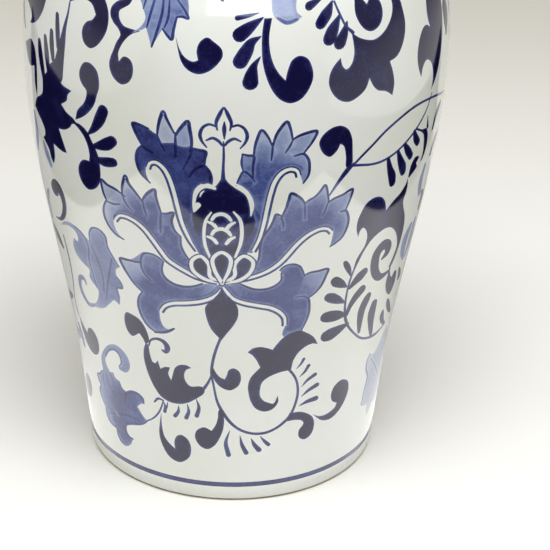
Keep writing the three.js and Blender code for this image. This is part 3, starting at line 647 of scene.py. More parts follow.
def rightLeaves():
    comma = patch(ink, (42.3, 218), (44.5, 221.8), (49.1, 224.5), (53.6, 224.6), (57.7, 221.8),
                  (60.1, 216.2), (60.6, 209.8), (60.9, 203, 1), (59, 199.8), (57.2, 200.8), (56.8, 207.1),
                  (55.5, 213), (53.6, 214.5, 1), (51.8, 211.2), (48.2, 208.7), (45, 210.7), (42.8, 214.6))
    scroll = patch(ink, (66.2, 156, 1), (65, 161.5), (65.4, 166.5), (67.6, 171.5), (70.5, 175.5),
                   (75, 177.2), (80, 176), (83.3, 172), (84.7, 165.8, 1), (90, 169.2), (96, 172),
                   (100, 175.5), (101.1, 178.5, 1), (101.9, 174.5), (101, 169.5), (99.2, 165), (100.3, 160),
                   (102.6, 154), (103.4, 147), (102.5, 140.5), (100.2, 133), (97, 127), (93.6, 122.8, 1),
                   (92.4, 124.6), (95.4, 130), (98, 135.8), (97.2, 141.6), (94.4, 147.6), (90, 152.3),
                   (85, 153.7), (79.5, 152.7), (75, 150.2), (71.5, 146.3), (67.5, 140.3), (63.6, 133.2, 1),
                   (66.2, 142), (71.2, 149.4), (72.2, 154.5), (71, 159), (69, 161), (67.4, 159.6))
    hook = stroke(ink, (94, 122.4, 1.6), (89.6, 121.6, 3), (84.4, 122.2, 4.8), (80.6, 127, 6),
                  (79.4, 133.6, 6.6), (80.8, 140, 6.6), (85.6, 143, 6.6), (89.4, 140.6, 6), (89, 136.6, 5),
                  (85, 134, 1.6))
    farLeaf = patch(ink, (108, 232.8, 1), (105, 239.5), (104, 246), (105.6, 253), (109.4, 257.7),
                    (112.6, 258), (116.7, 255.7, 1), (114.6, 260), (113.4, 266), (114, 273), (119, 277),
                    (126, 275.6), (131, 269), (133.8, 260), (134.5, 252), (133.6, 242.6), (129.8, 232.6),
                    (124.4, 225), (119.4, 221.2, 1), (121.1, 226.2), (120.6, 232.5), (117, 238),
                    (112.6, 240), (109.4, 237.4))
    return [
        comma,
        scroll,
        hook,
        farLeaf,
        stroke(line, (61.4, 201.6, 1.8), (58, 199, 3), (52.8, 193, 1.9), (48.4, 186.8, 1)),
        stroke(line, (60.6, 200.4, 1.4), (66.4, 204.7, 1.6), (72.4, 208.6, 1.6), (80.5, 213.5, 1.6),
               (89.6, 216.8, 1.6), (98.7, 218.7, 1.6), (106, 218.9, 1.6), (113.4, 218, 1.4),
               (126, 215, 1.4), (138, 211, 1.2), (148, 208, 1)),
        stroke(line, (61, 200.8, 1.6), (66, 199.6, 1.5), (72.4, 198, 1.4), (79.6, 197.4, 1.5),
               (87.8, 198.5, 1.5), (96.9, 201.5, 1.5), (105.1, 205.2, 1.5), (111.5, 208.9, 1.4),
               (116.6, 213, 1.2), (121, 219, 1)),
        stroke(ink, (83.6, 197.4, 2.4), (85.2, 191, 4), (87.4, 185, 5.6), (88, 181.4, 5)),
        stroke(ink, (90.8, 198.6, 2.2), (93, 192.8, 4.4), (95.6, 187, 5.8), (96.2, 184.6, 5)),
        stroke(ink, (96, 200.6, 2.6), (99, 195.8, 4.6), (102, 191.4, 4.6)),
        stroke(ink, (104, 204.6, 2.6), (105.8, 200, 4.6), (108.2, 196.8, 4.6)),
        stroke(ink, (106.4, 205, 1.3), (112, 201.6, 1.5), (116, 199, 4), (117.6, 192.6, 4.6),
               (116.6, 186.6, 2.8), (114, 183, 1.2)),
        stroke(ink, (117.8, 207.4, 0.8), (118.3, 201, 2.6)),
        patch(ink, (101.9, 178), (102.3, 182.8), (104.2, 186.5), (107.4, 188.4), (111.2, 186.6),
              (108.6, 184, 1), (109.8, 181.2), (106, 179.3)),
        patch(ink, (93, 122.4, 1), (91.8, 117), (91.5, 112.6), (93.7, 106.8), (97.8, 103.3), (101.9, 106.9),
              (103.3, 113), (102.4, 117), (100, 118), (97.4, 115.5, 1), (95.4, 117.6), (94.6, 120.6)),
        stroke(ink, (60.4, 126.4, 1.6), (57.6, 128.8, 4.6), (54.4, 131.4, 6), (53.6, 132.3, 5.6)),
        stroke(ink, (59.6, 116.4, 1.6), (55.2, 119.6, 5.2), (51.4, 122.2, 6), (50.2, 122.9, 5.4)),
        stroke(ink, (61.4, 107.6, 1.6), (56, 109, 6.4), (50.6, 110.1, 7.2), (49, 110.4, 6.6)),
        stroke(ink, (63.2, 101, 1.4), (57.4, 99.5, 5.6), (51.8, 98, 8), (50, 97.7, 7.4)),
        stroke(ink, (63, 132.4, 1), (61.4, 137.2, 3.2), (59.6, 141.2, 3.2), (59, 142.4, 2.4)),
        stroke(line, (71.4, 148, 1.4), (68.4, 142.6, 1.3), (64.4, 134.6, 1.3), (62.4, 128.6, 1.4),
               (61, 121, 1.4), (60.4, 113, 1.6), (61.2, 105, 2), (63.4, 99, 1.6), (67.6, 92.8, 1.4),
               (73, 87, 1.5), (79.6, 83.6, 1.6), (87, 82.2, 2), (93, 82.8, 1.5), (98, 84, 1)),
        stroke(ink, (62.7, 124.4, 1.8), (65.4, 126.9, 4.2), (69.2, 129.6, 6), (72, 131.4, 5.2)),
        stroke(ink, (61.6, 107, 2), (63.8, 112.4, 3.4), (67.4, 117, 5), (71.4, 120.2, 5.4)),
        stroke(ink, (71.6, 91.6, 2.2), (71.6, 98, 4.2), (72.5, 106, 5.6), (75.6, 112, 5.6),
               (76.6, 113.4, 4.6)),
        stroke(ink, (82.4, 84.6, 2.8), (81.2, 92.4, 5), (81, 99.6, 6.6), (82.2, 105.4, 5.6)),
        stroke(ink, (97, 83.6, 1.8), (93.4, 88, 3.8), (92, 92.4, 4.8), (92.2, 94, 3.6)),
        stroke(ink, (104, 88, 2), (100.6, 92, 4), (97.4, 98, 4), (96.6, 100, 2.4)),
        stroke(ink, (109, 109, 5), (108, 113, 4), (106.4, 116, 2)),
        stroke(pale + 0.08, (110, 121, 3), (107.6, 128, 7), (109, 136, 8), (113.6, 141, 5)),
        stroke(pale + 0.08, (113, 121.4, 3), (118, 130, 8), (120, 141, 5)),
        stroke(pale + 0.1, (119, 160, 5), (118, 168, 6), (121, 176, 4)),
        stroke(ink, (124, 148, 5), (125.6, 155, 6), (122.6, 159, 2)),
        stroke(ink, (139, 258, 8), (142.6, 249, 9), (143, 243, 5)),
        stroke(ink, (126, 196, 2), (131, 203, 5), (137, 206, 3.4)),
        stroke(ink, (128, 180, 3), (134, 186, 6), (141, 188, 3)),
    ]


def topRow():
    leftCurl = patch(ink, (-90, 274, 1), (-84, 277), (-78, 278.6), (-74, 277.6), (-71.4, 273.6, 1),
                     (-73.6, 270.6), (-77, 268.8), (-79.6, 265.5), (-80.2, 261.5), (-78.6, 258),
                     (-75, 256.5), (-71, 258.4), (-67, 263), (-64.4, 268), (-63.4, 273), (-63.9, 278),
                     (-66.8, 283), (-73, 285.4), (-80, 282.6), (-86, 278.4))
    hook = patch(ink, (-49.6, 287, 1), (-54, 285.6), (-59, 283), (-62, 279.6), (-62.4, 276), (-60.6, 273),
                 (-57.5, 270.4), (-56.4, 268), (-58.6, 264), (-60.6, 259), (-61.7, 256.4), (-62.6, 253),
                 (-62, 249), (-59.4, 245.4), (-55.5, 243.7), (-51.6, 245.7), (-49.4, 250), (-49.4, 255),
                 (-51.2, 257.6), (-54.4, 258), (-57, 255, 1), (-57.4, 259), (-55.6, 263.4), (-53, 267),
                 (-50, 269.8), (-45.6, 272, 1), (-50.4, 272.2), (-54.6, 272.8), (-57, 275.4), (-57.2, 279),
                 (-54.6, 281.2), (-51.6, 283.4))
    spray = patch(blue - 0.08, (-22.4, 294, 1), (-21.4, 288), (-21.4, 281.6, 1), (-24.4, 282.4),
                  (-27.2, 281.4), (-28.4, 276.6), (-29.6, 270.6, 1), (-32, 273), (-34, 275.4, 1),
                  (-36, 272), (-39.7, 265.2, 1), (-41, 269.8), (-42.6, 274.4, 1), (-45, 272.8),
                  (-50, 270.4, 1), (-45, 274.8), (-43, 279), (-44.6, 283.6), (-46.4, 288, 1), (-42, 289.6),
                  (-38, 293), (-31, 295.4), fade=(-29, 284, 6, 15, blue - 0.2))
    swan = patch(ink, (-27.6, 272.8, 1), (-25.4, 266.4), (-22.6, 262.9), (-19, 261.5), (-16.7, 262.4, 1),
                 (-17.4, 267), (-15.8, 271.4), (-12.4, 273.7), (-9.2, 271.8), (-5.6, 268.6), (-5, 265.2),
                 (-7.4, 261), (-12, 257), (-17, 255.5), (-21.8, 257.3), (-24.8, 261), (-26.4, 266.4))
    bigComma = patch(ink, (14.2, 283, 1), (13.4, 277), (13.2, 270), (13.8, 262), (15.8, 254), (19, 247),
                     (22.8, 242.6), (27.6, 240.6), (32.6, 242.1), (36.5, 246.8), (38.5, 252.6),
                     (37.6, 258.4), (35.2, 262.4), (31.4, 263.9), (28, 262.3), (26, 258), (24.8, 252.5, 1),
                     (21.8, 256), (19, 261), (17.3, 267), (16.7, 274), (17.9, 283, 1))
    acanthus = patch(ink, (58.4, 270.8, 1), (62, 267.8), (66.5, 265.4), (72, 264), (77, 265.3),
                     (81.2, 268.6), (83.8, 273), (84, 278), (82, 283, 1), (86, 282.4), (89.6, 278.6),
                     (92, 272.4), (93.6, 266), (93.2, 260), (91, 255), (87.6, 251.4), (82.5, 250.2, 1),
                     (84.8, 244), (85.8, 238), (84.7, 232, 1), (80, 235.6), (75, 237.6), (72, 240.6),
                     (69.4, 245.4, 1), (67.4, 240.8), (63.4, 237.8), (58, 236.2), (52.6, 238.1),
                     (48.6, 242.5), (46.6, 248), (47.4, 253.4), (49.8, 257), (52.7, 259.6, 1),
                     (53.8, 255.4), (56, 253.2), (58.6, 255), (60.1, 260), (59.6, 265.4))
    eye = patch(ink, (60, 288, 1), (60.6, 279), (63.4, 273.4), (67, 269.7), (71, 268.3), (75.2, 269.7),
                (77.4, 273.4), (77, 278.4), (74.6, 282.4), (70, 284.6), (67.4, 281.8, 1), (65.4, 284))
    return [
        leftCurl,
        hook,
        spray,
        swan,
        bigComma,
        acanthus,
        eye,
        patch(pale, (17.4, 295, 1), (17.6, 288), (18.4, 284.4), (21, 281.4), (25, 279.3), (29.4, 280),
              (32.4, 282.4, 1), (29.8, 285), (29.6, 290), (31, 296), (24, 298)),
        stroke(blue, (20.6, 282.8, 1), (25, 280.3, 2), (30, 281.4, 1.4)),
        trimmed(line, 1.1, (-39.6, 265.8), (-37.6, 271.5), (-35.6, 278), (-34.2, 284), (-33.8, 291)),
        trimmed(line, 1.0, (-36.6, 294), (-39, 286), (-41, 279), (-42.2, 274.6)),
        trimmed(line, 1.2, (-34, 275.2), (-31.4, 272.2), (-29.6, 271), (-28.6, 276), (-27.2, 281.6)),
        trimmed(line, 0.9, (-33.2, 276), (-31.4, 281), (-30.8, 290)),
        trimmed(line, 1.0, (-27, 281.8), (-24.4, 282.3), (-21.6, 281.8), (-23, 285), (-27, 290)),
        trimmed(line, 0.8, (-40, 294), (-42.6, 288), (-44.2, 283)),
        stroke(ink, (11.4, 285.6, 0.6), (6.4, 284.4, 2), (1.6, 283.4, 2.6)),
        stroke(ink, (13.6, 283.4, 0.8), (9.6, 280.6, 4), (6, 277.9, 6.2), (2.8, 275.4, 7)),
        stroke(ink, (12.8, 274.6, 0.6), (8.4, 271.8, 4.4), (6, 267.6, 6.6), (3.2, 262.6, 7.2)),
        stroke(ink, (12.6, 264.8, 0.6), (9.8, 260.6, 3.4), (8.7, 256.6, 6), (8.1, 252.3, 7.8)),
        stroke(ink, (42.6, 289.6, 0.8), (39.4, 288.4, 3), (36, 286.9, 4.6)),
        stroke(ink, (47.6, 287, 1.4), (44.9, 282, 6), (42, 278, 6)),
        stroke(ink, (51.4, 279.4, 2), (48.4, 274, 6.4), (46.6, 270, 7)),
        stroke(ink, (55.8, 276, 1.2), (54.2, 271, 5), (52.2, 267, 6.8)),
        stroke(line, (48.8, 287, 1), (51.8, 280.6, 1.2), (55.4, 274.2, 1.3), (59.4, 270.2, 1.8)),
    ]


def climbingStem():
    # a narrow stem with paired commas and a bud, which fills the plain strip between two panels
    shapes = [
        stroke(line, (0, 116, 0.9), (3, 136, 1.4), (-3, 160, 1.6), (3, 186, 1.6), (-2.5, 212, 1.6),
               (0, 240, 1.2)),
    ]
    for number in range(6):
        up, side = (122 + 21 * number, (-1) ** number)
        shapes += [
            stroke(ink, (side, up, 0.8), (6 * side, up + 4, 2.6), (10 * side, up + 10, 5),
                   (10.6 * side, up + 13, 5.6)),
            stroke(line, (-side, up + 6, 0.8), (-5 * side, up + 9, 1.8), (-9 * side, up + 15, 3.6)),
        ]
    for side in (-1, 1):
        leaf = patch(blue, (0, 240, 1), (5 * side, 241), (10 * side, 246), (13 * side, 254),
                     (12.6 * side, 264, 1), (9.6 * side, 258), (6 * side, 252), fade=(0, 242, 8, 22, pale))
        shapes += [
            leaf,
            trimmed(line, 1.0, (0, 240), (5 * side, 241), (10 * side, 246), (13 * side, 254),
                    (12.6 * side, 264)),
        ]
    bud = patch(ink, (0, 246, 1), (-4.4, 253), (-5.6, 260), (-3.6, 268), (0, 276, 1), (3.6, 268),
                (5.6, 260), (4.4, 253))
    return [*shapes, bud]


def paintedPanel():
    return (
        footLeaves() + lowerPetals() + middlePetals() + upperPetals() + seedPod() + fleur() + budAndStem()
        + footScrolls() + leftLeaves() + rightLeaves() + topRow()
    )


# A turned skin is meshed flat, then wrapped. A flat place is (hundredths of a radian round, mm up the wall).
turnWide = 100 * fullTurn
seamAt = -turnWide / 4  # a quarter turn round from the flower


def ring(tone, low, high):
    # a band painted right round while the jar spins on the wheel
    across = np.linspace(seamAt, seamAt + turnWide, 161)
    there, back = np.stack([across, across * 0 + low], 1), np.stack([across[::-1], across * 0 + high], 1)
    return {"tone": tone, "outline": np.vstack([there, back]), "spine": np.empty((0, 2))}


def wheelLine(low, high):
    # a thin ring, a little thicker with cobalt along both its edges
    return [ring(1.04, low, high), ring(0.86, low + 0.6, high - 0.6)]


def wrapped(shapes, drawnOn, turns, upTo=lambda up: up):
    # lays shapes drawn in mm on one profile round the axis, once at each turn, at a height given by upTo
    def moved(along, up, turn):
        reach = np.interp(up, drawnOn["along"], drawnOn["radius"])
        return 100 * along / reach + turn * turnWide, upTo(up)

    out = []
    for turn in turns:
        for shape in shapes:
            flat = {part: np.stack(moved(*shape[part].T, turn), 1) for part in ("outline", "spine")}
            flat["tone"] = shape["tone"]
            if shape.get("fade"):
                along, up, near, far, tone = shape["fade"]
                flat["fade"] = (*moved(along, up, turn), near, far, tone)
            out.append(flat)
    return out


def inside(points, outline):
    # which points an outline goes round, counting its crossings of a line to the right of each
    x, y = points[:, 0], points[:, 1]
    hit = np.zeros(len(points), bool)
    ends = np.roll(outline, -1, axis=0)
    for (x0, y0), (x1, y1) in zip(outline, ends):
        if y0 == y1:
            continue
        across = (y0 > y) != (y1 > y)
        hit[across] ^= x[across] < x0 + (y[across] - y0) * (x1 - x0) / (y1 - y0)
    return hit


def placeOn(profile, flat):
    # where flat places lie round the axis, in mm
    turn = flat[:, 0] / 100
    radius = np.interp(flat[:, 1], profile["along"], profile["radius"])
    height = np.interp(flat[:, 1], profile["along"], profile["height"])
    return np.stack([radius * np.sin(turn), -radius * np.cos(turn), height], 1)


def rowsUp(profile, rowStep, cuts):
    # the heights of the mesh's rows, closer where the profile bends, with one at each cut
    along = profile["along"]
    outside, within = rowStep
    step = np.where((along > 0) & (along < profile["split"]), outside, within)
    bend = np.linalg.norm(np.gradient(profile["outward"], along, axis=0), axis=1)
    effort = np.maximum(1 / step, bend / 0.14)  # a row for each 8 degrees of bend
    walked = np.concatenate([[0], np.cumsum((effort[1:] + effort[:-1]) / 2 * np.diff(along))])
    rows = np.interp(np.linspace(0, walked[-1], int(walked[-1]) + 2), walked, along)
    return np.unique(np.concatenate([rows, cuts]))


def flatMesh(profile, shapes, rows, roundStep, cuts):
    # triangles whose edges follow each painted outline, each cut and the seam
    flat, edges = [], []
    count = 0
    for shape in shapes:
        outline = shape["outline"]
        flat.append(outline)
        edges += [(count + i, count + (i + 1) % len(outline)) for i in range(len(outline))]
        count += len(outline)
    taken = kdtree.KDTree(count)
    for i, spot in enumerate(placeOn(profile, np.vstack(flat))):
        taken.insert(spot, i)
    taken.balance()

    # rows of loose points, and the spines, wherever no outline is close
    loose = []
    for number, row in enumerate(rows):
        radius = float(np.interp(row, profile["along"], profile["radius"]))
        columns = int(np.clip(fullTurn * radius / roundStep, 24, 160))  # few near the axis, never too many
        across = seamAt + turnWide * (np.arange(1, columns) + (0.5 * (number % 2) - 0.25)) / columns
        loose.append(np.stack([across, across * 0 + row], 1))
    for points in loose + [s["spine"] for s in shapes if len(s["spine"])]:
        near = np.array([taken.find(p)[2] for p in placeOn(profile, points)])
        flat.append(points[near > clearance])

    # both sides of the seam, and a line straight across at each cut and each end
    left = np.stack([rows * 0 + seamAt, rows], 1)
    base = sum(len(f) for f in flat)
    flat += [left, left + (turnWide, 0)]
    for start in (base, base + len(rows)):
        edges += [(start + i, start + i + 1) for i in range(len(rows) - 1)]
    for cut in (*cuts, rows[0], rows[-1]):
        i = int(np.argmin(abs(rows - cut)))
        edges.append((base + i, base + len(rows) + i))

    found = delaunay_2d_cdt([Vector(p) for p in np.vstack(flat)], edges, [], 0, 1e-5, False)
    spots, faces = np.array([tuple(p) for p in found[0]]), np.array(found[2])
    middle = spots[faces].mean(axis=1)
    return spots, faces[(middle[:, 0] > seamAt) & (middle[:, 0] < seamAt + turnWide)]


def brushedTones(spots, faces, shapes):
    # the tone at each face's corners, from the last brush that went over the face
    middle = spots[faces].mean(axis=1)
    owner = np.full(len(faces), -1)
    for number, shape in enumerate(shapes):
        low, high = shape["outline"].min(axis=0), shape["outline"].max(axis=0)
        close = np.where((middle >= low).all(axis=1) & (middle <= high).all(axis=1))[0]
        owner[close[inside(middle[close], shape["outline"])]] = number
    tones = np.zeros((len(faces), 3))
    for number, shape in enumerate(shapes):
        mine = owner == number
        tones[mine] = shape["tone"]
        if shape.get("fade"):
            x, y, near, far, tone = shape["fade"]
            reach = np.linalg.norm(spots[faces[mine]] - (x, y), axis=2)
            share = ((reach - near) / (far - near)).clip(0, 1)
            tones[mine] += (tone - shape["tone"]) * (share * share * (3 - 2 * share))
    return tones


def rimDistance(solid, joined, tones):
    # how far each point is from the nearest edge of paint, in mm and at most 9
    sides = np.sort(np.concatenate([joined[:, (0, 1)], joined[:, (1, 2)], joined[:, (2, 0)]]), axis=1)
    toneOf = np.tile(tones.mean(axis=1), 3)
    order = np.lexsort((sides[:, 1], sides[:, 0]))
    sides, toneOf = sides[order], toneOf[order]
    stepped = (sides[1:] == sides[:-1]).all(axis=1) & (abs(toneOf[1:] - toneOf[:-1]) > 0.2)
    rim = np.unique(sides[1:][stepped])  # the points where two faces' tones differ clearly
    edge = kdtree.KDTree(len(rim))
    for i in rim:
        edge.insert(solid[i], int(i))
    edge.balance()
    return np.array([min(edge.find(p)[2], 9.0) for p in solid])


def turnedSkin(name, profile, shapes, make):
    along, split = profile["along"], profile["split"]
    cuts = make.get("bareClay", ())
    rows = rowsUp(profile, make["rowStep"], cuts)
    spots, faces = flatMesh(profile, shapes, rows, make["roundStep"], cuts)
    tones = brushedTones(spots, faces, shapes)
    middle = spots[faces].mean(axis=1)

    # wrapping round the axis joins the seam and closes the poles
    atSeam = abs(spots[:, 0] - seamAt - turnWide) < 1e-3
    solid = placeOn(profile, np.stack([np.where(atSeam, seamAt, spots[:, 0]), spots[:, 1]], 1))
    rounded = np.round(solid * 2000).astype(np.int64)  # to half a micrometre
    _, firsts, merged = np.unique(rounded, axis=0, return_index=True, return_inverse=True)
    joined = merged.reshape(-1)[faces]
    whole = (joined != np.roll(joined, -1, axis=1)).all(axis=1)
    faces, joined, tones, middle = faces[whole], joined[whole], tones[whole], middle[whole]
    solid, flatOf = solid[firsts], spots[firsts]

    mesh = bpy.data.meshes.new(name)
    mesh.from_pydata((solid * mm).tolist(), [], joined.tolist())
    mesh.update()
    cobalt = mesh.attributes.new("cobaltTone", "FLOAT", "CORNER")
    cobalt.data.foreach_set("value", tones.reshape(-1).astype(np.float32))
    edge = mesh.attributes.new("edgeMm", "FLOAT", "POINT")
    edge.data.foreach_set("value", rimDistance(solid, joined, tones).astype(np.float32))

    # the unwrap is the flat sheet itself, with its own share for each side of the split
    sheet = spots[faces].reshape(-1, 2)
    parts = (along[0], split, max(along[-1], split + 1))
    rise = np.interp(sheet[:, 1], parts, (0.002, make["unwrapSplit"], 0.998))
    unwrapped = np.stack([(sheet[:, 0] - seamAt) / turnWide, rise], 1)
    layer = mesh.uv_layers.new(name="OFBake")
    layer.data.foreach_set("uv", unwrapped.reshape(-1).astype(np.float32))

    if cuts:
        rough = (middle[:, 1] > cuts[0]) & (middle[:, 1] < cuts[1])
        mesh.polygons.foreach_set("material_index", rough.astype(np.int32))
    mesh.polygons.foreach_set("use_smooth", np.ones(len(joined), bool))

    # the shading follows the true profile rather than the triangles
    turn = flatOf[:, 0] / 100
    outward = np.stack([np.interp(flatOf[:, 1], along, profile["outward"][:, k]) for k in (0, 1)], 1)
    normals = np.stack([outward[:, 0] * np.sin(turn), -outward[:, 0] * np.cos(turn), outward[:, 1]], 1)
    normals /= np.linalg.norm(normals, axis=1)[:, None].clip(1e-9)
    mesh.normals_split_custom_set_from_vertices(normals.tolist())
    mesh.update()
    made = bpy.data.objects.new(name, mesh)
    bpy.context.scene.collection.objects.link(made)
    print(name, len(mesh.vertices), "points", len(mesh.polygons), "faces")
    return made


def fillRamp(node, shades):
    # shades are {place: colour}; the ramp's own two stops take the first and the last
    stops = node.color_ramp.elements
    (first, firstShade), *between, (last, lastShade) = shades.items()
    stops[0].position, stops[0].color = first, linear(firstShade)
    stops[-1].position, stops[-1].color = last, linear(lastShade)
    for place, shade in between:
        stops.new(place).color = linear(shade)


def emptyMaterial(name):
    material = bpy.data.materials.new(name)
    material.use_nodes = True
    material.node_tree.nodes.clear()
    return material, material.node_tree


glaze = {
    "bare": {0.35: "#DFE2DB", 0.65: "#E4E6E4"},  # over bare porcelain, a shade greener where it lies thick
    "cobalt": {  # thin cobalt is a milky grey-blue, thick cobalt nearly black
        0: "#E2E5E0", 0.12: "#C3C9D0", 0.36: "#8794BA", 0.66: "#424E88", 0.86: "#242556", 1: "#14113A",
    },
    "roughness": 0.07,
    "ior": 1.52,
    "rim": 1.5,  # how wide in mm the thinner rim of a stroke is
    "waveDepth": 0.12,  # mm
    "peelDepth": 0.004,
    "noises": {
        # each one's size in mm, detail and roughness
        "cloud": (11.76, 3, 0.55),  # where the wash settled
        "streak": (1.43, 2, 0.5),  # left by the hairs of the brush
        "thickness": (71.4, 1, 0.5),  # of the glaze, which ran as it melted
        "wave": (38.5, 1, 0.5),  # slow waves in its surface
        "peel": (2.38, 1, 0.5),  # orange peel, drawn coarser than the real one so that it shows
    },
}


def glazedPorcelain():
    # white porcelain painted with cobalt oxide in water, then dipped in clear glaze and fired to a wet gloss
    material, tree = emptyMaterial("glazedPorcelain")
    spot = addNode(tree, "ShaderNodeTexCoord").outputs["Object"]
    tone = addNode(tree, "ShaderNodeAttribute", {"attribute_name": "cobaltTone"}).outputs["Fac"]
    edge = addNode(tree, "ShaderNodeAttribute", {"attribute_name": "edgeMm"}).outputs["Fac"]
    noise = {}
    for name, (size, detail, roughness) in glaze["noises"].items():
        settings = {"Scale": perMetre(size), "Detail": detail, "Roughness": roughness}
        noise[name] = addNode(tree, "ShaderNodeTexNoise", settings, {"Vector": spot}).outputs["Fac"]

    # the wash settles in clouds, the brush leaves finer streaks, and a stroke is thinner and bluer at its rim
    fired = tone
    for source, fromMin, fromMax, toMin, toMax in (
        (noise["cloud"], 0.3, 0.7, 0.88, 1.1),
        (noise["streak"], 0.3, 0.7, 0.94, 1.05),
        (edge, 0.0, glaze["rim"], 0.76, 1.03),
    ):
        ends = {"From Min": fromMin, "From Max": fromMax, "To Min": toMin, "To Max": toMax}
        share = addNode(tree, "ShaderNodeMapRange", ends, {"Value": source})
        times = addNode(tree, "ShaderNodeMath", {"operation": "MULTIPLY"})
        tree.links.new(fired, times.inputs[0])
        tree.links.new(share.outputs["Result"], times.inputs[1])
        fired = times.outputs[0]
    times.use_clamp = True  # no wash is darker than the last colour

    white = addNode(tree, "ShaderNodeValToRGB", links={"Fac": noise["thickness"]})
    fillRamp(white, glaze["bare"])
    wash = addNode(tree, "ShaderNodeValToRGB", links={"Fac": fired})
    fillRamp(wash, glaze["cobalt"])
    painted = addNode(tree, "ShaderNodeMapRange", {"From Min": 0.0, "From Max": 0.1}, {"Value": fired})
    colour = addNode(tree, "ShaderNodeMix", {"data_type": "RGBA"}, {"Factor": painted.outputs["Result"]})
    tree.links.new(white.outputs["Color"], colour.inputs[6])
    tree.links.new(wash.outputs["Color"], colour.inputs[7])

    # melted glaze: slow waves a few centimetres long under a very shallow orange peel
    slow = {"Strength": 1.0, "Distance": glaze["waveDepth"] * mm}
    fine = {"Strength": 1.0, "Distance": glaze["peelDepth"] * mm}
    waved = addNode(tree, "ShaderNodeBump", slow, {"Height": noise["wave"]}).outputs["Normal"]
    peeled = addNode(tree, "ShaderNodeBump", fine, {"Height": noise["peel"], "Normal": waved})
    shader = addNode(
        tree, "ShaderNodeBsdfPrincipled", {"Roughness": glaze["roughness"], "IOR": glaze["ior"]},
        {"Base Color": colour.outputs[2], "Normal": peeled.outputs["Normal"]},
    )
    addNode(tree, "ShaderNodeOutputMaterial", links={"Surface": shader.outputs[0]})
    return material


bareFoot = {
    "toast": {0.35: "#9A8868", 0.65: "#B9A888"},  # scorched and paler patches
    "roughness": 0.85,
    "ior": 1.5,
    "patch": 16.7,  # size in mm of the scorched patches
    "grit": 1.11,  # size in mm of the grains, drawn coarser than real ones so that they show
    "gritDepth": 0.12,
}


def firedClay():
    # the foot, wiped clean of glaze so that it does not stick to the kiln shelf: bare, dry and toasted brown
    material, tree = emptyMaterial("firedClay")
    spot = addNode(tree, "ShaderNodeTexCoord").outputs["Object"]
    grits = {"Scale": perMetre(bareFoot["grit"]), "Detail": 4.0}
    patches = {"Scale": perMetre(bareFoot["patch"]), "Detail": 2.0}
    grit = addNode(tree, "ShaderNodeTexNoise", grits, {"Vector": spot}).outputs["Fac"]
    toast = addNode(tree, "ShaderNodeTexNoise", patches, {"Vector": spot}).outputs["Fac"]
    colour = addNode(tree, "ShaderNodeValToRGB", links={"Fac": toast})
    fillRamp(colour, bareFoot["toast"])
    rise = {"Strength": 0.6, "Distance": bareFoot["gritDepth"] * mm}
    bump = addNode(tree, "ShaderNodeBump", rise, {"Height": grit})
    shader = addNode(
        tree, "ShaderNodeBsdfPrincipled", {"Roughness": bareFoot["roughness"], "IOR": bareFoot["ior"]},
        {"Base Color": colour.outputs["Color"], "Normal": bump.outputs["Normal"]},
    )
    addNode(tree, "ShaderNodeOutputMaterial", links={"Surface": shader.outputs[0]})
    return material


def placed(skin, nodeName, bodyName, materials):
    for material in materials:
        skin.data.materials.append(material)
    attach(skin, bodyName)
    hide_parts(nodeName)


porcelain = glazedPorcelain()
clay = firedClay()
print("materials made")

halves = (0.0, 0.5)  # turns round the axis from the front
quarters = (-0.25, 0.25, 0.75)  # the first and the last are the two sides of the seam
scrollFoot, scrollTop = 22, 106.5  # the band low on the jar whose motifs the shoulder and the lid repeat
lowScrolls = [s for s in footLeaves() + footScrolls() + budAndStem() if s["outline"][:, 1].max() < scrollTop]


def scrollBand(drawnOn, turns, start, scale):
    # the low scrolls again, smaller, from a height on another part of the wall; a minus scale hangs them
    return wrapped(lowScrolls, drawnOn, turns, lambda up: start + (up - scrollFoot) * scale)


jarBody = {
    # lengths up the wall start at zeroAt, a radius and height, and all lengths are in mm
    "zeroAt": (69.4, 0),  # where the foot ring meets the table
    "bareClay": (-7.0, 2.0),  # the unglazed band of the foot ring
    "footLine": (10.0, 12.8),
    "neckLine": (342.0, 344.6),
    "scrolls": (332, -0.5),  # where the shoulder's start, and their size beside the low ones
    "rowStep": (4.3, 6.0),  # mesh spacing up the outside and the inside
    "roundStep": 4.4,
    "unwrapSplit": 0.62,  # the share of the unwrap's height that the outside up to the lip takes
}
body = turnedProfile("jar_body", jarBody["zeroAt"])
body["split"] = float(body["along"][np.argmax(body["height"])])
bodyPaint = wrapped(paintedPanel(), body, halves)
bodyPaint += wrapped(climbingStem(), body, quarters)
bodyPaint += scrollBand(body, quarters + halves, *jarBody["scrolls"])
bodyPaint += wheelLine(*jarBody["footLine"]) + wheelLine(*jarBody["neckLine"])
print("body painted with", len(bodyPaint), "shapes, lip at", round(body["split"], 1))
bodySkin = turnedSkin("jarBody", body, bodyPaint, jarBody)
placed(bodySkin, "jar_body", "jar", (porcelain, clay))

jarLid = {
    "zeroAt": (61, 332.7),  # the brim's lower edge
    "underside": 60,  # how much of the profile, from its inner end, the unwrap's lower share holds
    "brimLine": (2.0, 4.4),
    "domeLine": (-14.8, -12.4),  # back from where the knob stands
    "scrolls": (14, 0.36),
    "rowStep": (3.6, 3.6),
    "roundStep": 3.8,
    "unwrapSplit": 0.62,
}
lid = turnedProfile("lid", jarLid["zeroAt"])
lid["split"] = float(lid["along"][0]) + jarLid["underside"]
dome = float(lid["along"][-1])
lidPaint = scrollBand(body, halves + quarters, *jarLid["scrolls"])
lidPaint += wheelLine(*jarLid["brimLine"]) + wheelLine(*(dome + back for back in jarLid["domeLine"]))
print("lid painted with", len(lidPaint), "shapes, profile to", round(dome, 1))
lidSkin = turnedSkin("jarLid", lid, lidPaint, jarLid)
placed(lidSkin, "lid", "lid_body", (porcelain,))

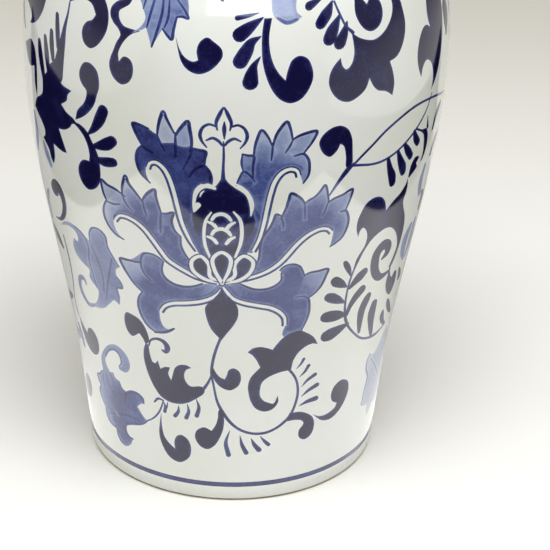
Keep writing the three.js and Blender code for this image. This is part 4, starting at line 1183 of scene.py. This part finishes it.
lidKnob = {
    "zeroAt": (0, 369.15),  # the middle of its underside
    "washFrom": 12,
    "wipedLine": (17.4, 18.6),
    "rowStep": (2.2, 2.2),
    "roundStep": 2.6,
    "unwrapSplit": 0.99,
}
knob = turnedProfile("lid_knob", lidKnob["zeroAt"])
knob["split"] = float(knob["along"][-1])
knobPaint = [ring(0.96, lidKnob["washFrom"], knob["split"] + 1), ring(bare, *lidKnob["wipedLine"])]
knobSkin = turnedSkin("lidKnob", knob, knobPaint, lidKnob)
placed(knobSkin, "lid_knob", "lid_body", (porcelain,))


def stageSheet(name, points, faces, material):
    mesh = bpy.data.meshes.new(name)
    mesh.from_pydata([(x * mm, y * mm, z * mm) for x, y, z in points], [], faces)
    mesh.polygons.foreach_set("use_smooth", [True] * len(faces))
    mesh.materials.append(material)
    sheet = bpy.data.objects.new(name, mesh)
    bpy.context.scene.collection.objects.link(sheet)
    return sheet


def plainMaterial(name, colour, glow=0.0):
    # a dull flat sheet of card or paper, which may give light
    material, tree = emptyMaterial(name)
    shader = addNode(
        tree, "ShaderNodeBsdfPrincipled",
        {"Base Color": linear(colour), "Roughness": 0.9, "Specular IOR Level": 0.0,
         "Emission Color": linear(colour), "Emission Strength": glow},
    )
    addNode(tree, "ShaderNodeOutputMaterial", links={"Surface": shader.outputs[0]})
    return material


def depthOf(tree):
    # how far behind the jar's axis a place is, in metres
    spot = addNode(tree, "ShaderNodeTexCoord").outputs["Object"]
    return addNode(tree, "ShaderNodeSeparateXYZ", links={"Vector": spot}).outputs["Y"]


paper = {
    # all in mm, with depths counted back from the jar's axis
    "shadedFrom": -400,
    "shadedTo": 620,
    # painted shade across the paper's depth, standing in for the falloff of the lamps
    "shades": {0: "#E4E3DF", 0.24: "#F3F2EE", 0.39: "#F8F7F3", 0.6: "#F7F6F2", 1: "#CCC9BE"},
    "halfWidth": 7000,
    "flatAt": (-6000, -1400, 900, 5000),  # from the front edge to where it starts to roll up
    "rollRadius": 1500,
    "top": 5000,
}


def sweep():
    # one wide sheet of pale paper, flat under the jar and rolled up far behind it, with painted shade: darker
    # towards the back and at the front edge
    material = plainMaterial("palePaper", "#F8F7F4")
    tree = material.node_tree
    ends = {"From Min": paper["shadedFrom"] * mm, "From Max": paper["shadedTo"] * mm}
    share = addNode(tree, "ShaderNodeMapRange", ends, {"Value": depthOf(tree)})
    shade = addNode(tree, "ShaderNodeValToRGB", links={"Fac": share.outputs["Result"]})
    fillRamp(shade, paper["shades"])
    tree.links.new(shade.outputs["Color"], tree.nodes["Principled BSDF"].inputs["Base Color"])

    start, radius = paper["flatAt"][-1], paper["rollRadius"]
    side = [(depth, 0) for depth in paper["flatAt"]]
    rolled = np.linspace(0, math.pi / 2, 13)[1:]
    side += [(start + radius * math.sin(t), radius - radius * math.cos(t)) for t in rolled]
    side += [(start + radius, paper["top"])]
    points = [(x, y, z) for x in (-paper["halfWidth"], paper["halfWidth"]) for y, z in side]
    count = len(side)
    faces = [(i, i + count, i + count + 1, i + 1) for i in range(count - 1)]
    stageSheet("paperSweep", points, faces, material)


def reflectedOnly(sheet):
    for ray in ("camera", "diffuse", "transmission", "shadow", "volume_scatter"):
        setattr(sheet, "visible_" + ray, False)


# the sheets that paint the paper's reflection in the glaze: a glowing ring round the foot and a dark floor
# beyond it
paintedPaperReflection = {"hole": 78, "reach": 267, "sides": 48, "glow": (2.2, 0.5), "fadedOver": (-30, 100)}  # mm


def litTable():
    # a glowing sheet seen only in the glaze, a painted reflection of the bright paper close round the foot,
    # dying away behind the jar
    material, tree = emptyMaterial("paintedReflectionGlow")
    (fadeFrom, fadeTo), (bright, dim) = paintedPaperReflection["fadedOver"], paintedPaperReflection["glow"]
    ends = {"From Min": fadeFrom * mm, "From Max": fadeTo * mm, "To Min": bright, "To Max": dim}
    glow = addNode(tree, "ShaderNodeMapRange", ends, {"Value": depthOf(tree)})
    shader = addNode(
        tree, "ShaderNodeEmission", {"Color": linear("#F2F1EE")}, {"Strength": glow.outputs["Result"]}
    )
    addNode(tree, "ShaderNodeOutputMaterial", links={"Surface": shader.outputs[0]})

    # a square sheet with a round hole for the foot
    sides, hole, reach = paintedPaperReflection["sides"], paintedPaperReflection["hole"], paintedPaperReflection["reach"]
    headings = [(math.cos(fullTurn * i / sides), math.sin(fullTurn * i / sides)) for i in range(sides)]
    points = [(hole * x, hole * y, 0.6) for x, y in headings]
    points += [(reach * x / max(abs(x), abs(y)), reach * y / max(abs(x), abs(y)), 0.6) for x, y in headings]
    faces = [(i, (i + 1) % sides, sides + (i + 1) % sides, sides + i) for i in range(sides)]
    reflectedOnly(stageSheet("litTable", points, faces, material))


def darkFront():
    # a near-black sheet seen only in the glaze, a painted reflection of the unlit room in front of the jar:
    # floor past the bright paper, and a wall beyond it
    near, wall = paintedPaperReflection["reach"], 560
    floor = [(-near, near), (-near, -near), (near, -near), (near, near), (460, 460), (460, -420),
             (1110, -1000), (-1110, -1000), (-570, -420), (-540, 500)]
    points = [(x, y, 0.4) for x, y in floor] + [(1110, -1000, wall), (-1110, -1000, wall)]
    faces = [(0, 1, 8, 9), (1, 2, 6, 7), (1, 7, 8), (2, 3, 4, 5), (2, 5, 6), (7, 6, 10, 11)]
    reflectedOnly(stageSheet("darkFront", points, faces, plainMaterial("paintedDarkReflection", "#050506")))


def skyPanel():
    # a window-like panel high in front, mirrored as the small bright patch on the shoulder
    points = [(-420, -1500, 740), (960, -1500, 720), (960, -1500, 1150), (-420, -1500, 1150)]
    material = plainMaterial("skyPanelSheet", "#F4F6FA", glow=4.5)
    reflectedOnly(stageSheet("skyPanel", points, [(0, 1, 2, 3)], material))


lamps = {
    # where each stands and what it faces in mm, its side in mm, and its power in watts
    "frontBox": {"at": (60, -640, 2300), "aim": (0, 0, 100), "side": 1200, "power": 24.4, "tint": "#F8FAFF"},
    "leftBox": {"at": (-1150, -800, 2000), "aim": (0, 0, 150), "side": 1000, "power": 8},
    "rightBox": {"at": (1150, -700, 2000), "aim": (0, 0, 150), "side": 1000, "power": 8},
    "overheadBox": {"at": (60, -460, 1150), "aim": (0, -60, 160), "side": 800, "power": 4.4},
}


def softbox(name, at, aim, side, power, tint="#FFFFFF"):
    # a square soft lamp that lights the jar but is not mirrored in its glaze
    lamp = bpy.data.lights.new(name, "AREA")
    lamp.shape = "SQUARE"
    lamp.size = side * mm
    lamp.energy = power
    lamp.color = linear(tint)[:3]
    box = bpy.data.objects.new(name, lamp)
    heading = (Vector(aim) - Vector(at)).to_track_quat("-Z", "Y").to_matrix().to_4x4()
    box.matrix_world = Matrix.Translation(Vector(at) * mm) @ heading
    bpy.context.scene.collection.objects.link(box)
    box.visible_glossy = False


sweep()
litTable()
darkFront()
skyPanel()
for name, lamp in lamps.items():
    softbox(name, **lamp)

world = bpy.data.worlds.new("dimRoom")
world.use_nodes = True
world.node_tree.nodes["Background"].inputs["Color"].default_value = linear("#F3F0E6")
world.node_tree.nodes["Background"].inputs["Strength"].default_value = 0.395
bpy.context.scene.world = world
bpy.context.scene.view_settings.view_transform = "Standard"
print("stage set")

viewpoint = {
    "distance": 2200,  # mm from the place aimed at
    "aim": (21.222, 0, 90.77),
    "elevation": 28.122,  # degrees above level
    "roll": 0.996,  # degrees
    "lens": 283.9,
    "sensor": 36,
}


def viewfinder(distance, aim, elevation, roll, lens, sensor):
    tilt, lean = math.radians(elevation), math.radians(roll)
    back = Vector((0, -math.cos(tilt), math.sin(tilt)))
    right = Vector((1, 0, 0))
    up = back.cross(right)
    sideways = right * math.cos(lean) + up * math.sin(lean)
    upright = -right * math.sin(lean) + up * math.cos(lean)
    eye = (Vector(aim) + distance * back) * mm
    camera = bpy.data.objects.new("viewfinder", bpy.data.cameras.new("viewfinder"))
    camera.data.lens, camera.data.sensor_width = lens, sensor
    camera.data.clip_end = 20
    rows = [[sideways[i], upright[i], back[i], eye[i]] for i in range(3)]
    camera.matrix_world = Matrix([*rows, [0, 0, 0, 1]])
    bpy.context.scene.collection.objects.link(camera)
    bpy.context.scene.camera = camera


viewfinder(**viewpoint)
